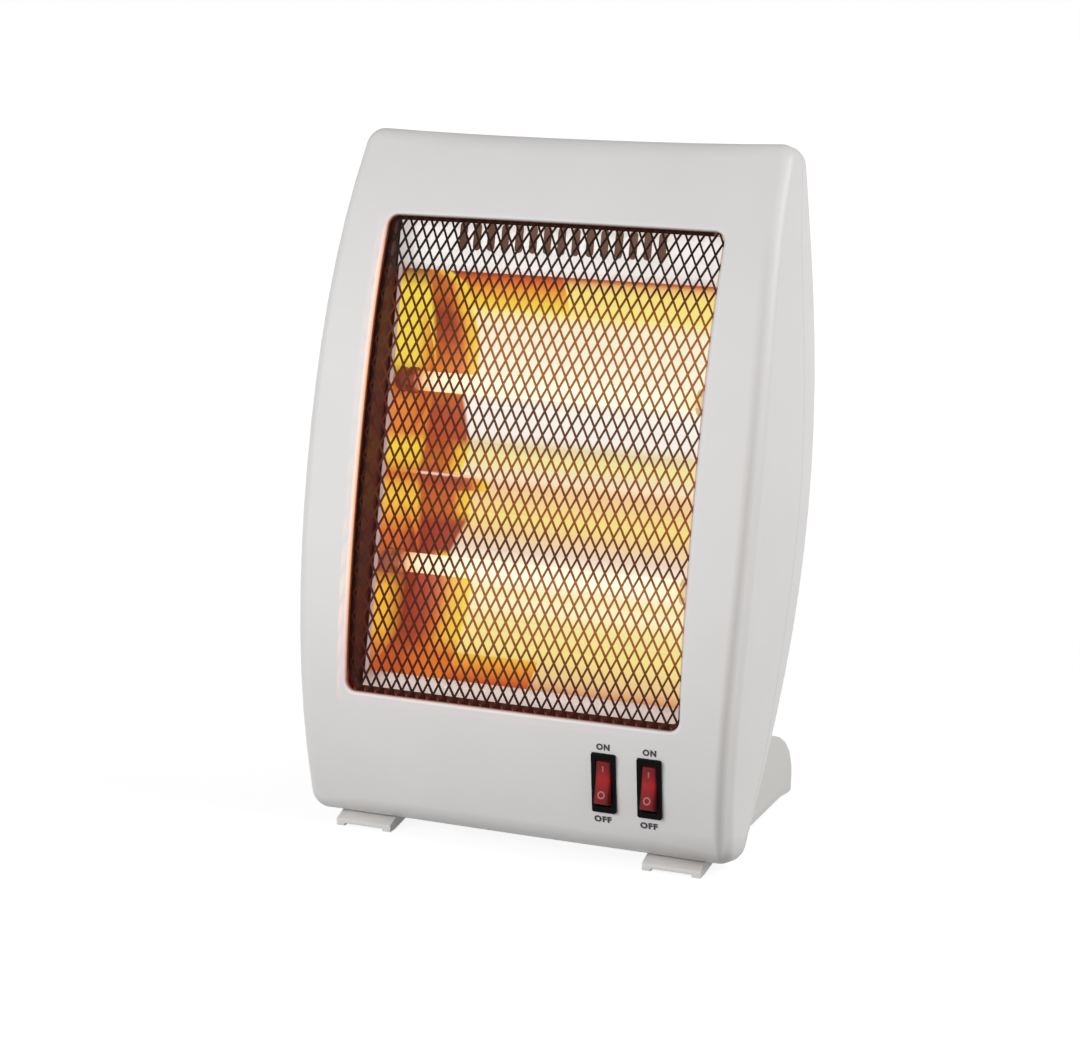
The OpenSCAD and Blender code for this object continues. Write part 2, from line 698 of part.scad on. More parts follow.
module switch_housing(x) {
    pivot = switch_front + pivot_d;
    color([0.05, 0.05, 0.05]) at_switch(x) difference() {
        union() {
            translate([0, flange_sink, 0]) rotate([90, 0, 0]) linear_extrude(flange_t) round_box(switch_w, switch_h, 1.2);
            translate([-switch_body_w / 2, flange_sink - 0.2, -switch_body_h / 2])
                cube([switch_body_w, switch_depth, switch_body_h]);
            for (s = [-1, 1]) translate([-3, wall + flange_sink + 0.2, s * (switch_body_h / 2 + 0.5) - 0.5])
                cube([6, 6, 1]);
        }
        translate([-opening_w / 2, switch_front - 1, -opening_h / 2]) cube([opening_w, pivot_d + 8.5, opening_h]);
        rod_x(-opening_w / 2 - trunnion_l, opening_w / 2 + trunnion_l, pivot, 0, trunnion_r + 0.05);
    }
}

// A rectangle with rounded corners, made of two bars and four discs
module round_box(w, h, r) {
    square([w - 2 * r, h], center = true);
    square([w, h - 2 * r], center = true);
    for (x = [r - w / 2, w / 2 - r], y = [r - h / 2, h / 2 - r]) translate([x, y]) circle(r);
}

// Rocker with two shallow faces, drawn level and then tilted to ON
module rocker(x) {
    color([0.75, 0.05, 0.06]) at_switch(x) translate([0, switch_front + pivot_d, 0]) rotate([-rocker_tilt, 0, 0]) union() {
        intersection() {
            rod_x(-rocker_w / 2, rocker_w / 2, 0, 0, rocker_r);
            slab(-rocker_w / 2, rocker_w / 2,
                [[-rocker_crest, 0], [-rocker_brow, rocker_r], [2.2, rocker_r],
                    [2.2, -rocker_r], [-rocker_brow, -rocker_r]]);
        }
        rod_x(-opening_w / 2 - trunnion_l + 0.2, opening_w / 2 + trunnion_l - 0.2, 0, 0, trunnion_r);
    }
}

module switch_1_housing() {
    switch_housing(switch_xs[0]);
}

module switch_2_housing() {
    switch_housing(switch_xs[1]);
}

module rocker_1() {
    rocker(switch_xs[0]);
}

module rocker_2() {
    rocker(switch_xs[1]);
}

// Spade tabs at the back of the switches
module switch_terminals() {
    color([0.8, 0.65, 0.3])
        for (x = switch_xs) at_switch(x)
            for (z = [-9, 0, 9]) translate([-2.4, flange_sink + switch_depth - 0.2, z - 0.4])
                cube([4.8, 7.5, 0.8]);
}

// ---- parts on the casing's inner posts ----
module terminal_block() {
    color([0.9, 0.89, 0.85]) difference() {
        translate([block_x - 17, 2, low_post_z - 8]) cube([34, 12, 16]);
        for (x = block_post_xs) rod_y(x, low_post_z, 1, 15, 1.6);
        for (x = [block_x - 5, block_x + 5]) {
            translate([x, 8, low_post_z - 9]) cylinder(r = 2.2, h = 18);
            rod_y(x, low_post_z, 8, 15, 2);
        }
    }
}

module thermal_cutout() {
    color([0.3, 0.3, 0.32]) union() {
        rod_y(ref_hw - 15, ref_z1 + 12, 0, 3, 8);
        rod_y(ref_hw - 15, ref_z1 + 12, 2.5, 8, 6.5);
        for (s = [-1, 1]) translate([ref_hw - 15 + s * 3.5 - 0.4, 7.5, ref_z1 + 10]) cube([0.8, 7, 4]);
    }
}

// Tip-over cut-out: a weighted arm that hangs plumb between two cheeks below a microswitch
arm_l = 15;
bob_r = 4.5;
cheek_x = 7.5;
tip_pivot = [12, tip_z + 6];

module tip_over_bracket() {
    color([0.75, 0.75, 0.72]) difference() {
        union() {
            translate([tip_x - 18, 2, low_post_z - 5]) cube([36, 1.5, 10]);
            for (s = [-1, 1]) translate([tip_x + s * cheek_x - 0.75, 2, low_post_z - 5])
                cube([1.5, 15, tip_pivot[1] + 4 - low_post_z + 5]);
        }
        for (x = tip_post_xs) rod_y(x, low_post_z, 1, 15, 1.6);
        rod_x(tip_x - 12, tip_x + 12, tip_pivot[0], tip_pivot[1], trunnion_r + 0.02);
    }
}

module tip_over_pin() {
    color([0.6, 0.6, 0.62]) union() {
        rod_x(tip_x - cheek_x - 1.5, tip_x + cheek_x + 1.5, tip_pivot[0], tip_pivot[1], trunnion_r);
        rod_x(tip_x + cheek_x + 1, tip_x + cheek_x + 2, tip_pivot[0], tip_pivot[1], trunnion_r + 0.8);
    }
}

module tip_over_arm() {
    color([0.55, 0.55, 0.55]) translate([tip_x, tip_pivot[0], tip_pivot[1]]) rotate([lean, 0, 0]) difference() {
        union() {
            rod_x(-3, 3, 0, 0, 3);
            translate([-1.5, -1.5, -arm_l]) cube([3, 3, arm_l]);
            rod_x(-5, 5, 0, -arm_l, bob_r);
        }
        rod_x(-6, 6, 0, 0, trunnion_r + 0.05);
    }
}

module tip_over_microswitch() {
    color([0.1, 0.1, 0.1]) union() {
        translate([tip_x - cheek_x + 0.75, 3.6, tip_pivot[1] - 3]) cube([2 * cheek_x - 1.5, 4.4, 7]);
        translate([tip_x - 1, 5, tip_pivot[1] + 3.5]) cube([2, 2, 4]);
    }
}

// ---- feet ----
foot_front = 4;
foot_wall = 2.6;
pad_w = 5;
pad_h = 1.5;
pad_l = 6;                              // length of the four pads that touch the floor
arch_h = 2;                             // clear height under the sides between them
arch_run = 14;

// Side profile of the casing down its lower part, grown by d, in the casing's frame
function casing_profile(d) =
    let (x = foot_x - foot_w / 2)
    concat(
        [for (z = [130:-10:20]) [front_y(x, z) - d, z]],
        [for (f = [0:15:90]) let (z = edge_end * (1 - sin(f)))
            [front_y(x, z) + edge_end * (1 - cos(f)) - d * cos(f), z - d * sin(f)]],
        [for (f = [0:15:90]) let (z = edge_back * (1 - cos(f)))
            [back_y(z) - edge_back * (1 - sin(f)) + d * sin(f), z - d * cos(f)]],
        [for (z = [20:10:130]) [back_y(z) + d, z]]);

// Side profile of a foot on the floor: toe, hump behind the casing, rounded heel
foot_end = foot_front + foot_l;

function foot_profile(in) =
    let (y1 = foot_end - in, h = foot_h - in)
    concat(
        [[foot_front + in, in > 0 ? -1 : 0], [foot_front + in, 4]],
        [[22, 10], [48, h - 4], [66, h]],
        [for (f = [0:12:84]) [66 + (y1 - 66) * sin(f), 9 + (h - 9) * pow(cos(f), 0.85)]],
        [[y1, 9], [y1 - 1, in > 0 ? -1 : 0]]);

module foot() {
    x0 = foot_x - foot_w / 2;
    x1 = foot_x + foot_w / 2;
    color(casing_colour) difference() {
        translate([0, -centre_y, 0]) slab(x0, x1, foot_profile(0));
        in_casing() slab(x0 - 1, x1 + 1, casing_profile(fit));
        translate([0, -centre_y, 0]) {
            difference() {
                slab(x0 + foot_wall, x1 - foot_wall, foot_profile(foot_wall));
                slab(x0, x1, [[0, -2], [0, 20], [48, 20], [38, -2]]);
                translate([0, centre_y, 0]) in_casing() slab(x0 - 1, x1 + 1, casing_profile(fit + foot_wall));
            }
            translate([x0 + pad_w, 0, -1]) cube([foot_w - 2 * pad_w, foot_end + 1, pad_h + 1]);
            slab(x0 - 1, x1 + 1, [[foot_front + pad_l, -1], [foot_front + pad_l, 0], [foot_front + pad_l + arch_run, arch_h],
                [foot_end - pad_l - arch_run, arch_h], [foot_end - pad_l, 0], [foot_end - pad_l, -1]]);
        }
        in_casing() for (x = foot_screw_xs) {
            translate([x, foot_screw_y, -20]) cylinder(r = screw_r + 0.3, h = 30);
            translate([x, foot_screw_y, -20]) cylinder(r = head_r + 0.4, h = 17);
        }
    }
}

module foot_right() {
    foot();
}

module foot_left() {
    mirror([1, 0, 0]) foot();
}

module foot_screws() {
    color([0.6, 0.6, 0.62]) both_sides() in_casing() for (x = foot_screw_xs) {
        translate([x, foot_screw_y, -3.1]) cylinder(r = shank_r, h = 12);
        translate([x, foot_screw_y, -5]) cylinder(r = head_r, h = 2);
    }
}

// Foremost points, from the front datum's foot: the casing's face, and the lower end of the inner rocker
face_reach = min([for (z = [20:2:body_h]) z * sin(lean) - front_n(z) * cos(lean)]);
rocker_k = rocker_brow - rocker_crest;
rocker_f = (sqrt(pow(rocker_crest * rocker_k, 2) + (pow(rocker_k, 2) + pow(rocker_r, 2))
    * (pow(rocker_r, 2) - pow(rocker_crest, 2))) - rocker_crest * rocker_k) / (pow(rocker_k, 2) + pow(rocker_r, 2));
switch_a = atan(front_slope(switch_z)) - lean;
rocker_reach = front_y(switch_xs[0], switch_z) * cos(lean) + switch_z * sin(lean)
    + (switch_front + pivot_d) * cos(switch_a)
    - (rocker_crest + rocker_k * rocker_f) * cos(switch_a - rocker_tilt)
    + rocker_r * rocker_f * sin(switch_a - rocker_tilt);

// Middle of the heater from front to back, so that the origin is under it
centre_y = (min(face_reach, rocker_reach) + foot_end) / 2;

in_casing() front_casing();
in_casing() rear_cover();
in_casing() casing_screws();
in_casing() cord_gland();
in_casing() guard_front_strands();
in_casing() guard_rear_strands();
in_casing() guard_frame();
in_casing() reflector();
in_casing() reflector_end_left();
in_casing() reflector_end_right();
in_casing() slotted_plate();
in_casing() lower_plate();
in_casing() side_shields();
in_casing() mount_screws();
in_casing() upper_tube();
in_casing() lower_tube();
in_casing() upper_element();
in_casing() lower_element();
in_casing() upper_tube_caps();
in_casing() lower_tube_caps();
in_casing() upper_tube_clips();
in_casing() lower_tube_clips();
in_casing() switch_1_housing();
in_casing() switch_2_housing();
in_casing() rocker_1();
in_casing() rocker_2();
in_casing() switch_terminals();
in_casing() terminal_block();
in_casing() thermal_cutout();
in_casing() tip_over_bracket();
in_casing() tip_over_pin();
in_casing() tip_over_arm();
in_casing() tip_over_microswitch();
foot_left();
foot_right();
foot_screws();
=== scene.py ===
import math
import bpy
from mathutils import Matrix, Vector


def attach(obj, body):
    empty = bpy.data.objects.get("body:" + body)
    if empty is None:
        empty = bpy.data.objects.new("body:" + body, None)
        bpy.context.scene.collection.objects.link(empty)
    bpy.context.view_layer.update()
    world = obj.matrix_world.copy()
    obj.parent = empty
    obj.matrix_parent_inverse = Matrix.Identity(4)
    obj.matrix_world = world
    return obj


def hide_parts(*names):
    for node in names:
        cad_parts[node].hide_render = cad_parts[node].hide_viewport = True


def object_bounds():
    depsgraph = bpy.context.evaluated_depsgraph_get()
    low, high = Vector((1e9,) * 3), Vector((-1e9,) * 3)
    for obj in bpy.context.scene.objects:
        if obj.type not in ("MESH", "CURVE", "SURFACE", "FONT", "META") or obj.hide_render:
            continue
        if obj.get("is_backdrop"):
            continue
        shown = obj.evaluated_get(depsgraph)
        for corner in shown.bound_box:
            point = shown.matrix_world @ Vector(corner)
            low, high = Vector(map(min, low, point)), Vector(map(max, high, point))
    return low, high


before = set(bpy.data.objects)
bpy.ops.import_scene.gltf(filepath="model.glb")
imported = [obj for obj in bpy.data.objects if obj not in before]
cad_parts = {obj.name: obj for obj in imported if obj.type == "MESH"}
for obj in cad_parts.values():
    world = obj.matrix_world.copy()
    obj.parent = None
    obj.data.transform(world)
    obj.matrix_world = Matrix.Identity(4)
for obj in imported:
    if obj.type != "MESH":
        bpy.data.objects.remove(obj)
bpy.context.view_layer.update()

# ----------------------------------------------------------------------
# Front casing. One white ABS moulding with a fine spark-eroded texture: the curved face, the
# barrel-shaped sides and the rolled edge of the window, which catches the glow of the tubes.
# ----------------------------------------------------------------------
MM = 0.001
LEAN = 12.8                     # degrees that the casing leans back
HALF_W, MID_Z = 132.5, 192.3    # half the casing's width, and the height of its middle along the lean
BULGE, SIDE_FALL = 32, 6        # how far the face stands forward halfway up, and falls back at its sides
SQUARE, FOURTH = 0.49, 0.51     # shares of the bulge that go with the 2nd and 4th power of the height
SLACK = 0.25                    # how far flat facets lie off a curved face, at most
CASING = Matrix.Translation((0, -75.4843 * MM, 9.8 * MM)) @ Matrix.Rotation(math.radians(-LEAN), 4, "X")


def in_casing(x, y, z):
    """A place in the casing's own frame, in mm: X across, Y inward from the face, Z along the lean."""
    return CASING @ (Vector((x, y, z)) * MM)


def face_y(x, z):
    """Depth of the casing's face at a place, in mm."""
    q = (z - MID_Z) / MID_Z
    return SIDE_FALL * (x / HALF_W) ** 2 - BULGE * (1 - SQUARE * q ** 2 - FOURTH * q ** 4)


def face_way(place):
    """The way that the casing's face looks at a place."""
    q = place.z / MID_Z - 1
    return 2 * SIDE_FALL * place.x / HALF_W ** 2, -1, BULGE / MID_Z * (2 * SQUARE * q + 4 * FOURTH * q ** 3)


def select(*pieces):
    """Makes these pieces the selected ones, the first of them active."""
    bpy.ops.object.select_all(action="DESELECT")
    for piece in pieces:
        piece.select_set(True)
    bpy.context.view_layer.objects.active = pieces[0]


def reshape(*steps):
    """Runs edit-mode operators, each given with its settings, on the whole of the active piece."""
    bpy.ops.object.mode_set(mode="EDIT")
    for step, settings in steps:
        bpy.ops.mesh.select_all(action="SELECT")
        step(**settings)
    bpy.ops.object.mode_set(mode="OBJECT")


def refine(node, name, angle=32, bevel=0):
    """A copy of a CAD node, its triangles joined; with a bevel, also its flat faces whole and its edges
    rounded by bevel mm.
    """
    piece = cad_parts[node].copy()
    piece.data = piece.data.copy()
    piece.name = piece.data.name = name
    piece.parent = None
    for key in list(piece.keys()):
        del piece[key]
    bpy.context.scene.collection.objects.link(piece)
    select(piece)
    steps = [(bpy.ops.mesh.remove_doubles, {"threshold": 0.01 * MM})]
    if bevel:
        steps.append((bpy.ops.mesh.dissolve_limited, {"angle_limit": math.radians(0.5)}))
    reshape(*steps)
    if bevel:
        edge = piece.modifiers.new("rounded edges", "BEVEL")
        edge.width, edge.segments, edge.limit_method = bevel * MM, 3, "ANGLE"
        edge.angle_limit, edge.miter_outer = math.radians(40), "MITER_ARC"
        bpy.ops.object.modifier_apply(modifier=edge.name)
    bpy.ops.object.shade_smooth_by_angle(angle=math.radians(angle))
    return piece


def follow(piece, depth, normal, near):
    """Shades the corners that lie within near(place) mm of a curved surface by that surface's own normal."""
    turn, back, mesh = CASING.to_3x3(), CASING.inverted(), piece.data
    places = [(back @ v.co) / MM for v in mesh.vertices]
    shades = [(0, 0, 0)] * len(mesh.loops)
    for face in mesh.polygons:
        whole = all(abs(depth(places[i])) < near(places[i]) for i in face.vertices)
        for corner in face.loop_indices:
            place = places[mesh.loops[corner].vertex_index]
            if abs(depth(place)) < near(place):
                way = (turn @ Vector(normal(place))).normalized()
                if whole or way.dot(face.normal) > 0.93:
                    shades[corner] = way
    mesh.normals_split_custom_set(shades)


def colour(code):
    """An sRGB hex value, or a plain number, as linear RGBA."""
    if not isinstance(code, str):
        return [code, code, code, 1.0]
    parts = [int(code[i:i + 2], 16) / 255 for i in (0, 2, 4)]
    return [c / 12.92 if c <= 0.04045 else ((c + 0.055) / 1.055) ** 2.4 for c in parts] + [1.0]


def add(tree, kind, values={}, *inputs):
    """Adds a node with these properties and inputs by name, and then its first inputs in order: each
    a number, a hex colour, or another node or one of its outputs, which is linked to it."""
    node = tree.nodes.new(kind)
    for key in values:
        if key not in node.inputs:
            setattr(node, key, values[key])
    given = [(node.inputs[key], values[key]) for key in values if key in node.inputs]
    given += zip([socket for socket in node.inputs if socket.enabled], inputs)
    for socket, value in given:
        if isinstance(value, bpy.types.Node):
            value = next(output for output in value.outputs if output.enabled)
        if isinstance(value, bpy.types.NodeSocket):
            tree.links.new(value, socket)
        else:
            socket.default_value = colour(value) if isinstance(value, str) else value
    return node


PLUS, MINUS, TIMES, OVER, POWER, SIZE, LARGER, SINE = [
    ("ShaderNodeMath", {"operation": kind})
    for kind in ("ADD", "SUBTRACT", "MULTIPLY", "DIVIDE", "POWER", "ABSOLUTE", "MAXIMUM", "SINE")]
RANGE = "ShaderNodeMapRange", {}                # a value, the range that it runs over, and the result's
MIX = "ShaderNodeMix", {"data_type": "RGBA"}    # a share and two colours


def finish_of(name):
    """A new material and its empty node tree."""
    material = bpy.data.materials.new(name)
    material.use_nodes = True
    material.node_tree.nodes.clear()
    return material, material.node_tree


def axes(tree):
    """Object coordinates turned into the casing's own frame in mm, as three outputs."""
    back = CASING.inverted()
    place = add(tree, "ShaderNodeTexCoord").outputs["Object"]
    turned = add(tree, "ShaderNodeMapping", {"Location": back.translation / MM, "Rotation": back.to_euler(),
                                             "Scale": (1 / MM,) * 3}, place)
    return add(tree, "ShaderNodeSeparateXYZ", {}, turned).outputs


def bands(tree, along, stops):
    """Colours or levels along a length in mm, from stops of (mm, colour or level)."""
    low, high = stops[0][0], stops[-1][0]
    ramp = add(tree, "ShaderNodeValToRGB", {}, add(tree, *RANGE, along, low, high))
    line = ramp.color_ramp.elements
    line[0].position, line[0].color = 0, colour(stops[0][1])
    line[1].position, line[1].color = 1, colour(stops[-1][1])
    for place, tone in stops[1:-1]:
        line.new((place - low) / (high - low)).color = colour(tone)
    return ramp


def surface(name, tones, grain, rough, bump=0.05, metallic=0.0, ior=1.5, stretch=(1, 1, 1), glow=None,
            power=1.0, painted_shade=None, shine=0.5):
    """A finish in two close tones, with a grain of so many mm that also moves its gloss and its height.
    An optional function of (tree, tint) paints shade into its tones from place to place, and glow(tree) is
    the light that it shows.
    The real textures are too fine to show, so each grain is drawn as coarse as it needs to be."""
    material, tree = finish_of(name)
    place = add(tree, "ShaderNodeTexCoord").outputs["Object"]
    pulled = add(tree, "ShaderNodeMapping", {"Scale": stretch}, place)
    fine = add(tree, "ShaderNodeTexNoise", {"Scale": 1 / (grain * MM), "Detail": 3.0}, pulled)
    broad = add(tree, "ShaderNodeTexNoise", {"Scale": 1 / (45 * grain * MM), "Detail": 2.0}, pulled)
    tint = add(tree, *MIX, broad, tones[0], tones[1])
    look = {"Base Color": painted_shade(tree, tint) if painted_shade else tint,
            "Roughness": add(tree, *RANGE, fine, 0, 1, rough[0], rough[1]),
            "Normal": add(tree, "ShaderNodeBump", {"Strength": bump, "Distance": 0.06 * MM, "Height": fine}),
            "Metallic": metallic, "IOR": ior, "Specular IOR Level": shine}
    if glow:
        look.update({"Emission Color": glow(tree), "Emission Strength": power})
    add(tree, "ShaderNodeOutputMaterial", {}, add(tree, "ShaderNodeBsdfPrincipled", look))
    return material


def coat(piece, material):
    """Gives the whole piece one material."""
    piece.data.materials.clear()
    piece.data.materials.append(material)
    for face in piece.data.polygons:
        face.material_index = 0


def stand(piece, body, slot, *nodes):
    """Puts a piece on its body in place of these CAD nodes, which it hides. slot is not used."""
    if nodes:
        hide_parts(*nodes)
    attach(piece, body)


def height_squared(tree, z):
    """The square of the height over the casing's middle, as a share of half its height."""
    return add(tree, *POWER, add(tree, *OVER, add(tree, *MINUS, z, MID_Z), MID_Z), 2)


def lip_depth(tree, x, y, z):
    """How far a point lies behind the face, in mm, and whether it is on the window's rolled edge."""
    q2 = height_squared(tree, z)
    across = add(tree, *TIMES, add(tree, *POWER, x, 2), SIDE_FALL / HALF_W ** 2)
    up = add(tree, *PLUS, add(tree, *TIMES, q2, BULGE * SQUARE),
             add(tree, *TIMES, add(tree, *POWER, q2, 2), BULGE * FOURTH))
    deep = add(tree, *MINUS, add(tree, *PLUS, y, BULGE), add(tree, *PLUS, across, up))
    near = add(tree, *TIMES, add(tree, *RANGE, add(tree, *SIZE, x), 104.0, 103.0),
               add(tree, *RANGE, z, 64.0, 65.0))
    near = add(tree, *TIMES, near, add(tree, *RANGE, z, 340.5, 339.5))
    return deep, add(tree, *TIMES, near, add(tree, *RANGE, deep, 6.0, 4.5))


def lip_painted_shade(tree, plastic):
    """Painted shade: the window's rolled edge darkens toward its inside, a soft dark line runs where the face
    turns into the right side, and the lower right corner darkens.
    """
    x, y, z = axes(tree)
    deep, near = lip_depth(tree, x, y, z)
    # the rolled edge in painted shade, pale only on its right side
    tone = add(tree, *MIX, add(tree, *RANGE, x, 96.0, 97.5), "4E2E24", "DCD4CE")
    tone = add(tree, *MIX, add(tree, *TIMES, near, add(tree, *RANGE, deep, 0.4, 1.9)), plastic, tone)
    # painted shade where the face turns into the right side, 6.2 mm inside the outline, stronger low down
    q2 = height_squared(tree, z)
    bow = add(tree, *PLUS, add(tree, *TIMES, add(tree, *POWER, q2, 3), 2.4), add(tree, *TIMES, q2, -9.5))
    off = add(tree, *SIZE, add(tree, *MINUS, x, add(tree, *PLUS, bow, HALF_W - 6.2)))
    edge_shade = add(tree, *TIMES, add(tree, *RANGE, off, 3.4, 0.5),
               bands(tree, z, [(14, 0.46), (90, 0.36), (200, 0.26), (300, 0.09), (345, 0.0)]))
    # painted shade low on the right of the face
    corner = add(tree, *TIMES, add(tree, *RANGE, z, 16.0, 3.0), add(tree, *RANGE, x, 45.0, 105.0))
    edge_shade = add(tree, *LARGER, edge_shade, add(tree, *TIMES, corner, 0.36))
    return add(tree, *MIX, edge_shade, tone, bands(tree, z, [(14, "8A857F"), (150, "948272"), (345, "948272")]))


def lip_glow(tree):
    """The tubes' light on that edge: orange on the left, dull red low down, faint along the bottom."""
    x, y, z = axes(tree)
    deep, near = lip_depth(tree, x, y, z)
    left = bands(tree, z, [(66, "6A2A1E"), (90, "9A4630"), (130, "E08E50"), (300, "E08A50"), (325, "A25A44"),
                           (338, "6A3C32")])
    low = bands(tree, x, [(-100, "70362A"), (0, "7A4A3C"), (60, "5A3A30"), (100, "2A1C18")])
    left = add(tree, *MIX, add(tree, *RANGE, z, 336.0, 333.0), "000000", left)
    tone = add(tree, *MIX, add(tree, *RANGE, z, 70.0, 76.0), low, left)
    right = add(tree, *TIMES, add(tree, *RANGE, x, -97.5, -95.0), add(tree, *RANGE, z, 70.0, 76.0))
    tone = add(tree, *MIX, right, tone, "000000")
    inner = add(tree, *TIMES, add(tree, *RANGE, deep, 1.3, 2.3), add(tree, *RANGE, z, 74.0, 84.0))
    tone = add(tree, *MIX, inner, tone, "3C160E")
    return add(tree, *MIX, add(tree, *TIMES, near, add(tree, *RANGE, deep, 0.0, 0.4)), "000000", tone)


white_abs = surface("white ABS, textured moulding", ("E6E4E3", "ECEAE9"), 0.9, (0.38, 0.48), 0.08, ior=1.53,
                    painted_shade=lip_painted_shade, glow=lip_glow, power=0.9)
front = refine("front_casing", "casing_front")
follow(front, lambda place: place.y - face_y(place.x, place.z), face_way, lambda place: SLACK)
coat(front, white_abs)
stand(front, "heater", "white_abs", "front_casing")

# ----------------------------------------------------------------------
# Rear cover. The shallow ABS moulding behind the seam, with rows of cooling slots and the wells
# of the four casing screws.
# ----------------------------------------------------------------------
BACK, HOLLOW = 72, 42    # depth of the back halfway up, and how far it swings forward at its ends


def back_depth(place):
    """How far a place lies behind the curved back, in mm."""
    return place.y - BACK + HOLLOW * (place.z / MID_Z - 1) ** 2


def back_way(place):
    """The way that the back looks at a place."""
    return 0, 1, 2 * HOLLOW / MID_Z * (place.z / MID_Z - 1)


def back_near(place):
    """The cut edges of the screw wells lie further off the curve than the rest of the back."""
    return 0.95 if abs(place.x) < 117 and 20 < place.z < 365 else SLACK


def back_of(piece, material, turned_away):
    """Gives the faces whose direction in the casing's frame passes turned_away a finish of their own."""
    piece.data.materials.append(material)
    back = CASING.to_3x3().inverted()
    for face in piece.data.polygons:
        if turned_away(back @ face.normal):
            face.material_index = 1


def inner_light(tree):
    """A dull brown light from behind the reflector, fading toward the bottom."""
    return bands(tree, axes(tree)[2], [(0, "241A16"), (300, "5E4236"), (384, "6A4A3C")])


rear = refine("rear_cover", "casing_rear")
follow(rear, back_depth, back_way, back_near)
coat(rear, white_abs)
# the inside of the cover: white ABS in painted shade, with a dull brown painted light
inner_abs = surface("white ABS, inner side, in the light that leaks back", ("8A7A70", "968478"), 0.9,
                    (0.4, 0.5), 0.08, ior=1.53, glow=inner_light, power=0.9)
back_of(rear, inner_abs, lambda way: way.y < -0.3)
stand(rear, "heater", "white_abs", "rear_cover")

# ----------------------------------------------------------------------
# Guard. One sheet of expanded steel, slit and drawn into upright diamonds 6.4 by 12.7 mm, bent
# to the curve of the face and enamelled black. The strands in front of the reflector carry painted brown
# light.
# ----------------------------------------------------------------------
def guard_light(tree):
    """Painted light: brown where the strands cross the lit troughs, dark red on the left, nearly black at the
    edges.
    """
    x, _, z = axes(tree)
    lit = bands(tree, z, [
        (64, "240601"), (78, "2F0E07"), (84, "441B08"), (90, "4F2809"), (100, "6E3A0E"), (112, "9B5824"),
        (143, "A16434"), (149, "7D4324"), (155, "572B18"), (160, "572C13"), (167, "713D14"), (178, "985520"),
        (190, "713811"), (203, "985A26"), (210, "7D4924"), (216, "5F3A22"), (234, "5B382A"), (241, "995E33"),
        (265, "A56332"), (282, "985823"), (292, "793E17"), (300, "4F200B"), (307, "33241C"), (314, "2D211B"),
        (320, "22120A"), (332, "220803")])
    left = bands(tree, z, [
        (64, "1E0602"), (78, "270C06"), (86, "420C05"), (115, "511603"), (143, "4B1B0D"), (165, "4E1405"),
        (178, "562703"), (190, "4E1306"), (203, "5C2A03"), (216, "531605"), (228, "531405"), (240, "5E250D"),
        (265, "5F2F03"), (292, "572503"), (300, "461C06"), (307, "252120"), (320, "1C130D"),
        (332, "1C0803")])
    lit = add(tree, *MIX, add(tree, *RANGE, x, -42.0, -24.0), left, lit)
    lit = add(tree, *MIX, add(tree, *RANGE, x, 103.0, 99.0), "241008", lit)
    return add(tree, *MIX, add(tree, *RANGE, x, -97.0, -91.0), "2A0602", lit)


black_enamel = surface("black enamel on steel", ("050404", "090707"), 0.5, (0.5, 0.65), 0.1, glow=guard_light,
                       power=0.95, shine=0.12)
WIDE, TALL = 6.44, 12.74          # one diamond
STRAND, SHEET = 0.98, 0.95        # width and thickness of a strand
MIDDLE, SHEET_IN = 202.3, 4.62    # height of the window's middle along the lean, and the sheet's depth
REACH_X, REACH_Z = 104.4, 138.3   # from the middle to the edges of the sheet
CUT_X, CUT_Z = -0.0335, 0.3915    # where the sheet was cut, as shares of a diamond
COLUMNS, ROWS = 35, 24            # diamonds of one lattice, which runs a little past the edges
guard = None
# two lattices, the second one half a diamond across and up
for shift in (0.0, 0.5):
    bpy.ops.mesh.primitive_circle_add(vertices=4, radius=1.0, fill_type="NGON",
                                      rotation=(math.radians(90), 0, 0))
    lattice = bpy.context.object
    lattice.scale = (WIDE / 2 * MM, TALL / 2 * MM, 1)
    bpy.ops.object.transform_apply(location=False, rotation=True, scale=True)
    first = -(COLUMNS // 2) + CUT_X + shift, -(ROWS // 2) + CUT_Z + shift
    lattice.location = (first[0] * WIDE * MM, 0, first[1] * TALL * MM)
    bpy.ops.object.transform_apply(location=True, rotation=False, scale=False)
    bpy.ops.object.mode_set(mode="EDIT")
    bpy.ops.mesh.select_all(action="SELECT")
    bpy.ops.mesh.inset(thickness=STRAND / 2 * MM)
    bpy.ops.mesh.delete(type="FACE")
    bpy.ops.object.mode_set(mode="OBJECT")
    for count, offset in ((COLUMNS, (WIDE * MM, 0, 0)), (ROWS, (0, 0, TALL * MM))):
        row = lattice.modifiers.new("row", "ARRAY")
        row.use_relative_offset, row.use_constant_offset = False, True
        row.constant_offset_displace, row.count = offset, count
        bpy.ops.object.modifier_apply(modifier=row.name)
    if guard:
        select(guard, lattice)
        bpy.ops.object.join()
    guard = guard or lattice
guard.name = guard.data.name = "guard_sheet"
select(guard)
edges = ((1, 0, 0), REACH_X), ((-1, 0, 0), REACH_X), ((0, 0, 1), REACH_Z), ((0, 0, -1), REACH_Z)
cuts = [(bpy.ops.mesh.bisect, {"plane_co": Vector(way) * reach * MM, "plane_no": way, "clear_outer": True,
                               "threshold": 0.001 * MM}) for way, reach in edges]
reshape(*cuts, (bpy.ops.mesh.remove_doubles, {"threshold": 0.02 * MM}),
        (bpy.ops.mesh.normals_make_consistent, {"inside": False}))
for vertex in guard.data.vertices:
    x, z = vertex.co.x / MM, vertex.co.z / MM + MIDDLE
    vertex.co = in_casing(x, face_y(x, z) + SHEET_IN, z)
steel = guard.modifiers.new("sheet", "SOLIDIFY")
steel.thickness, steel.offset = SHEET * MM, 0.0
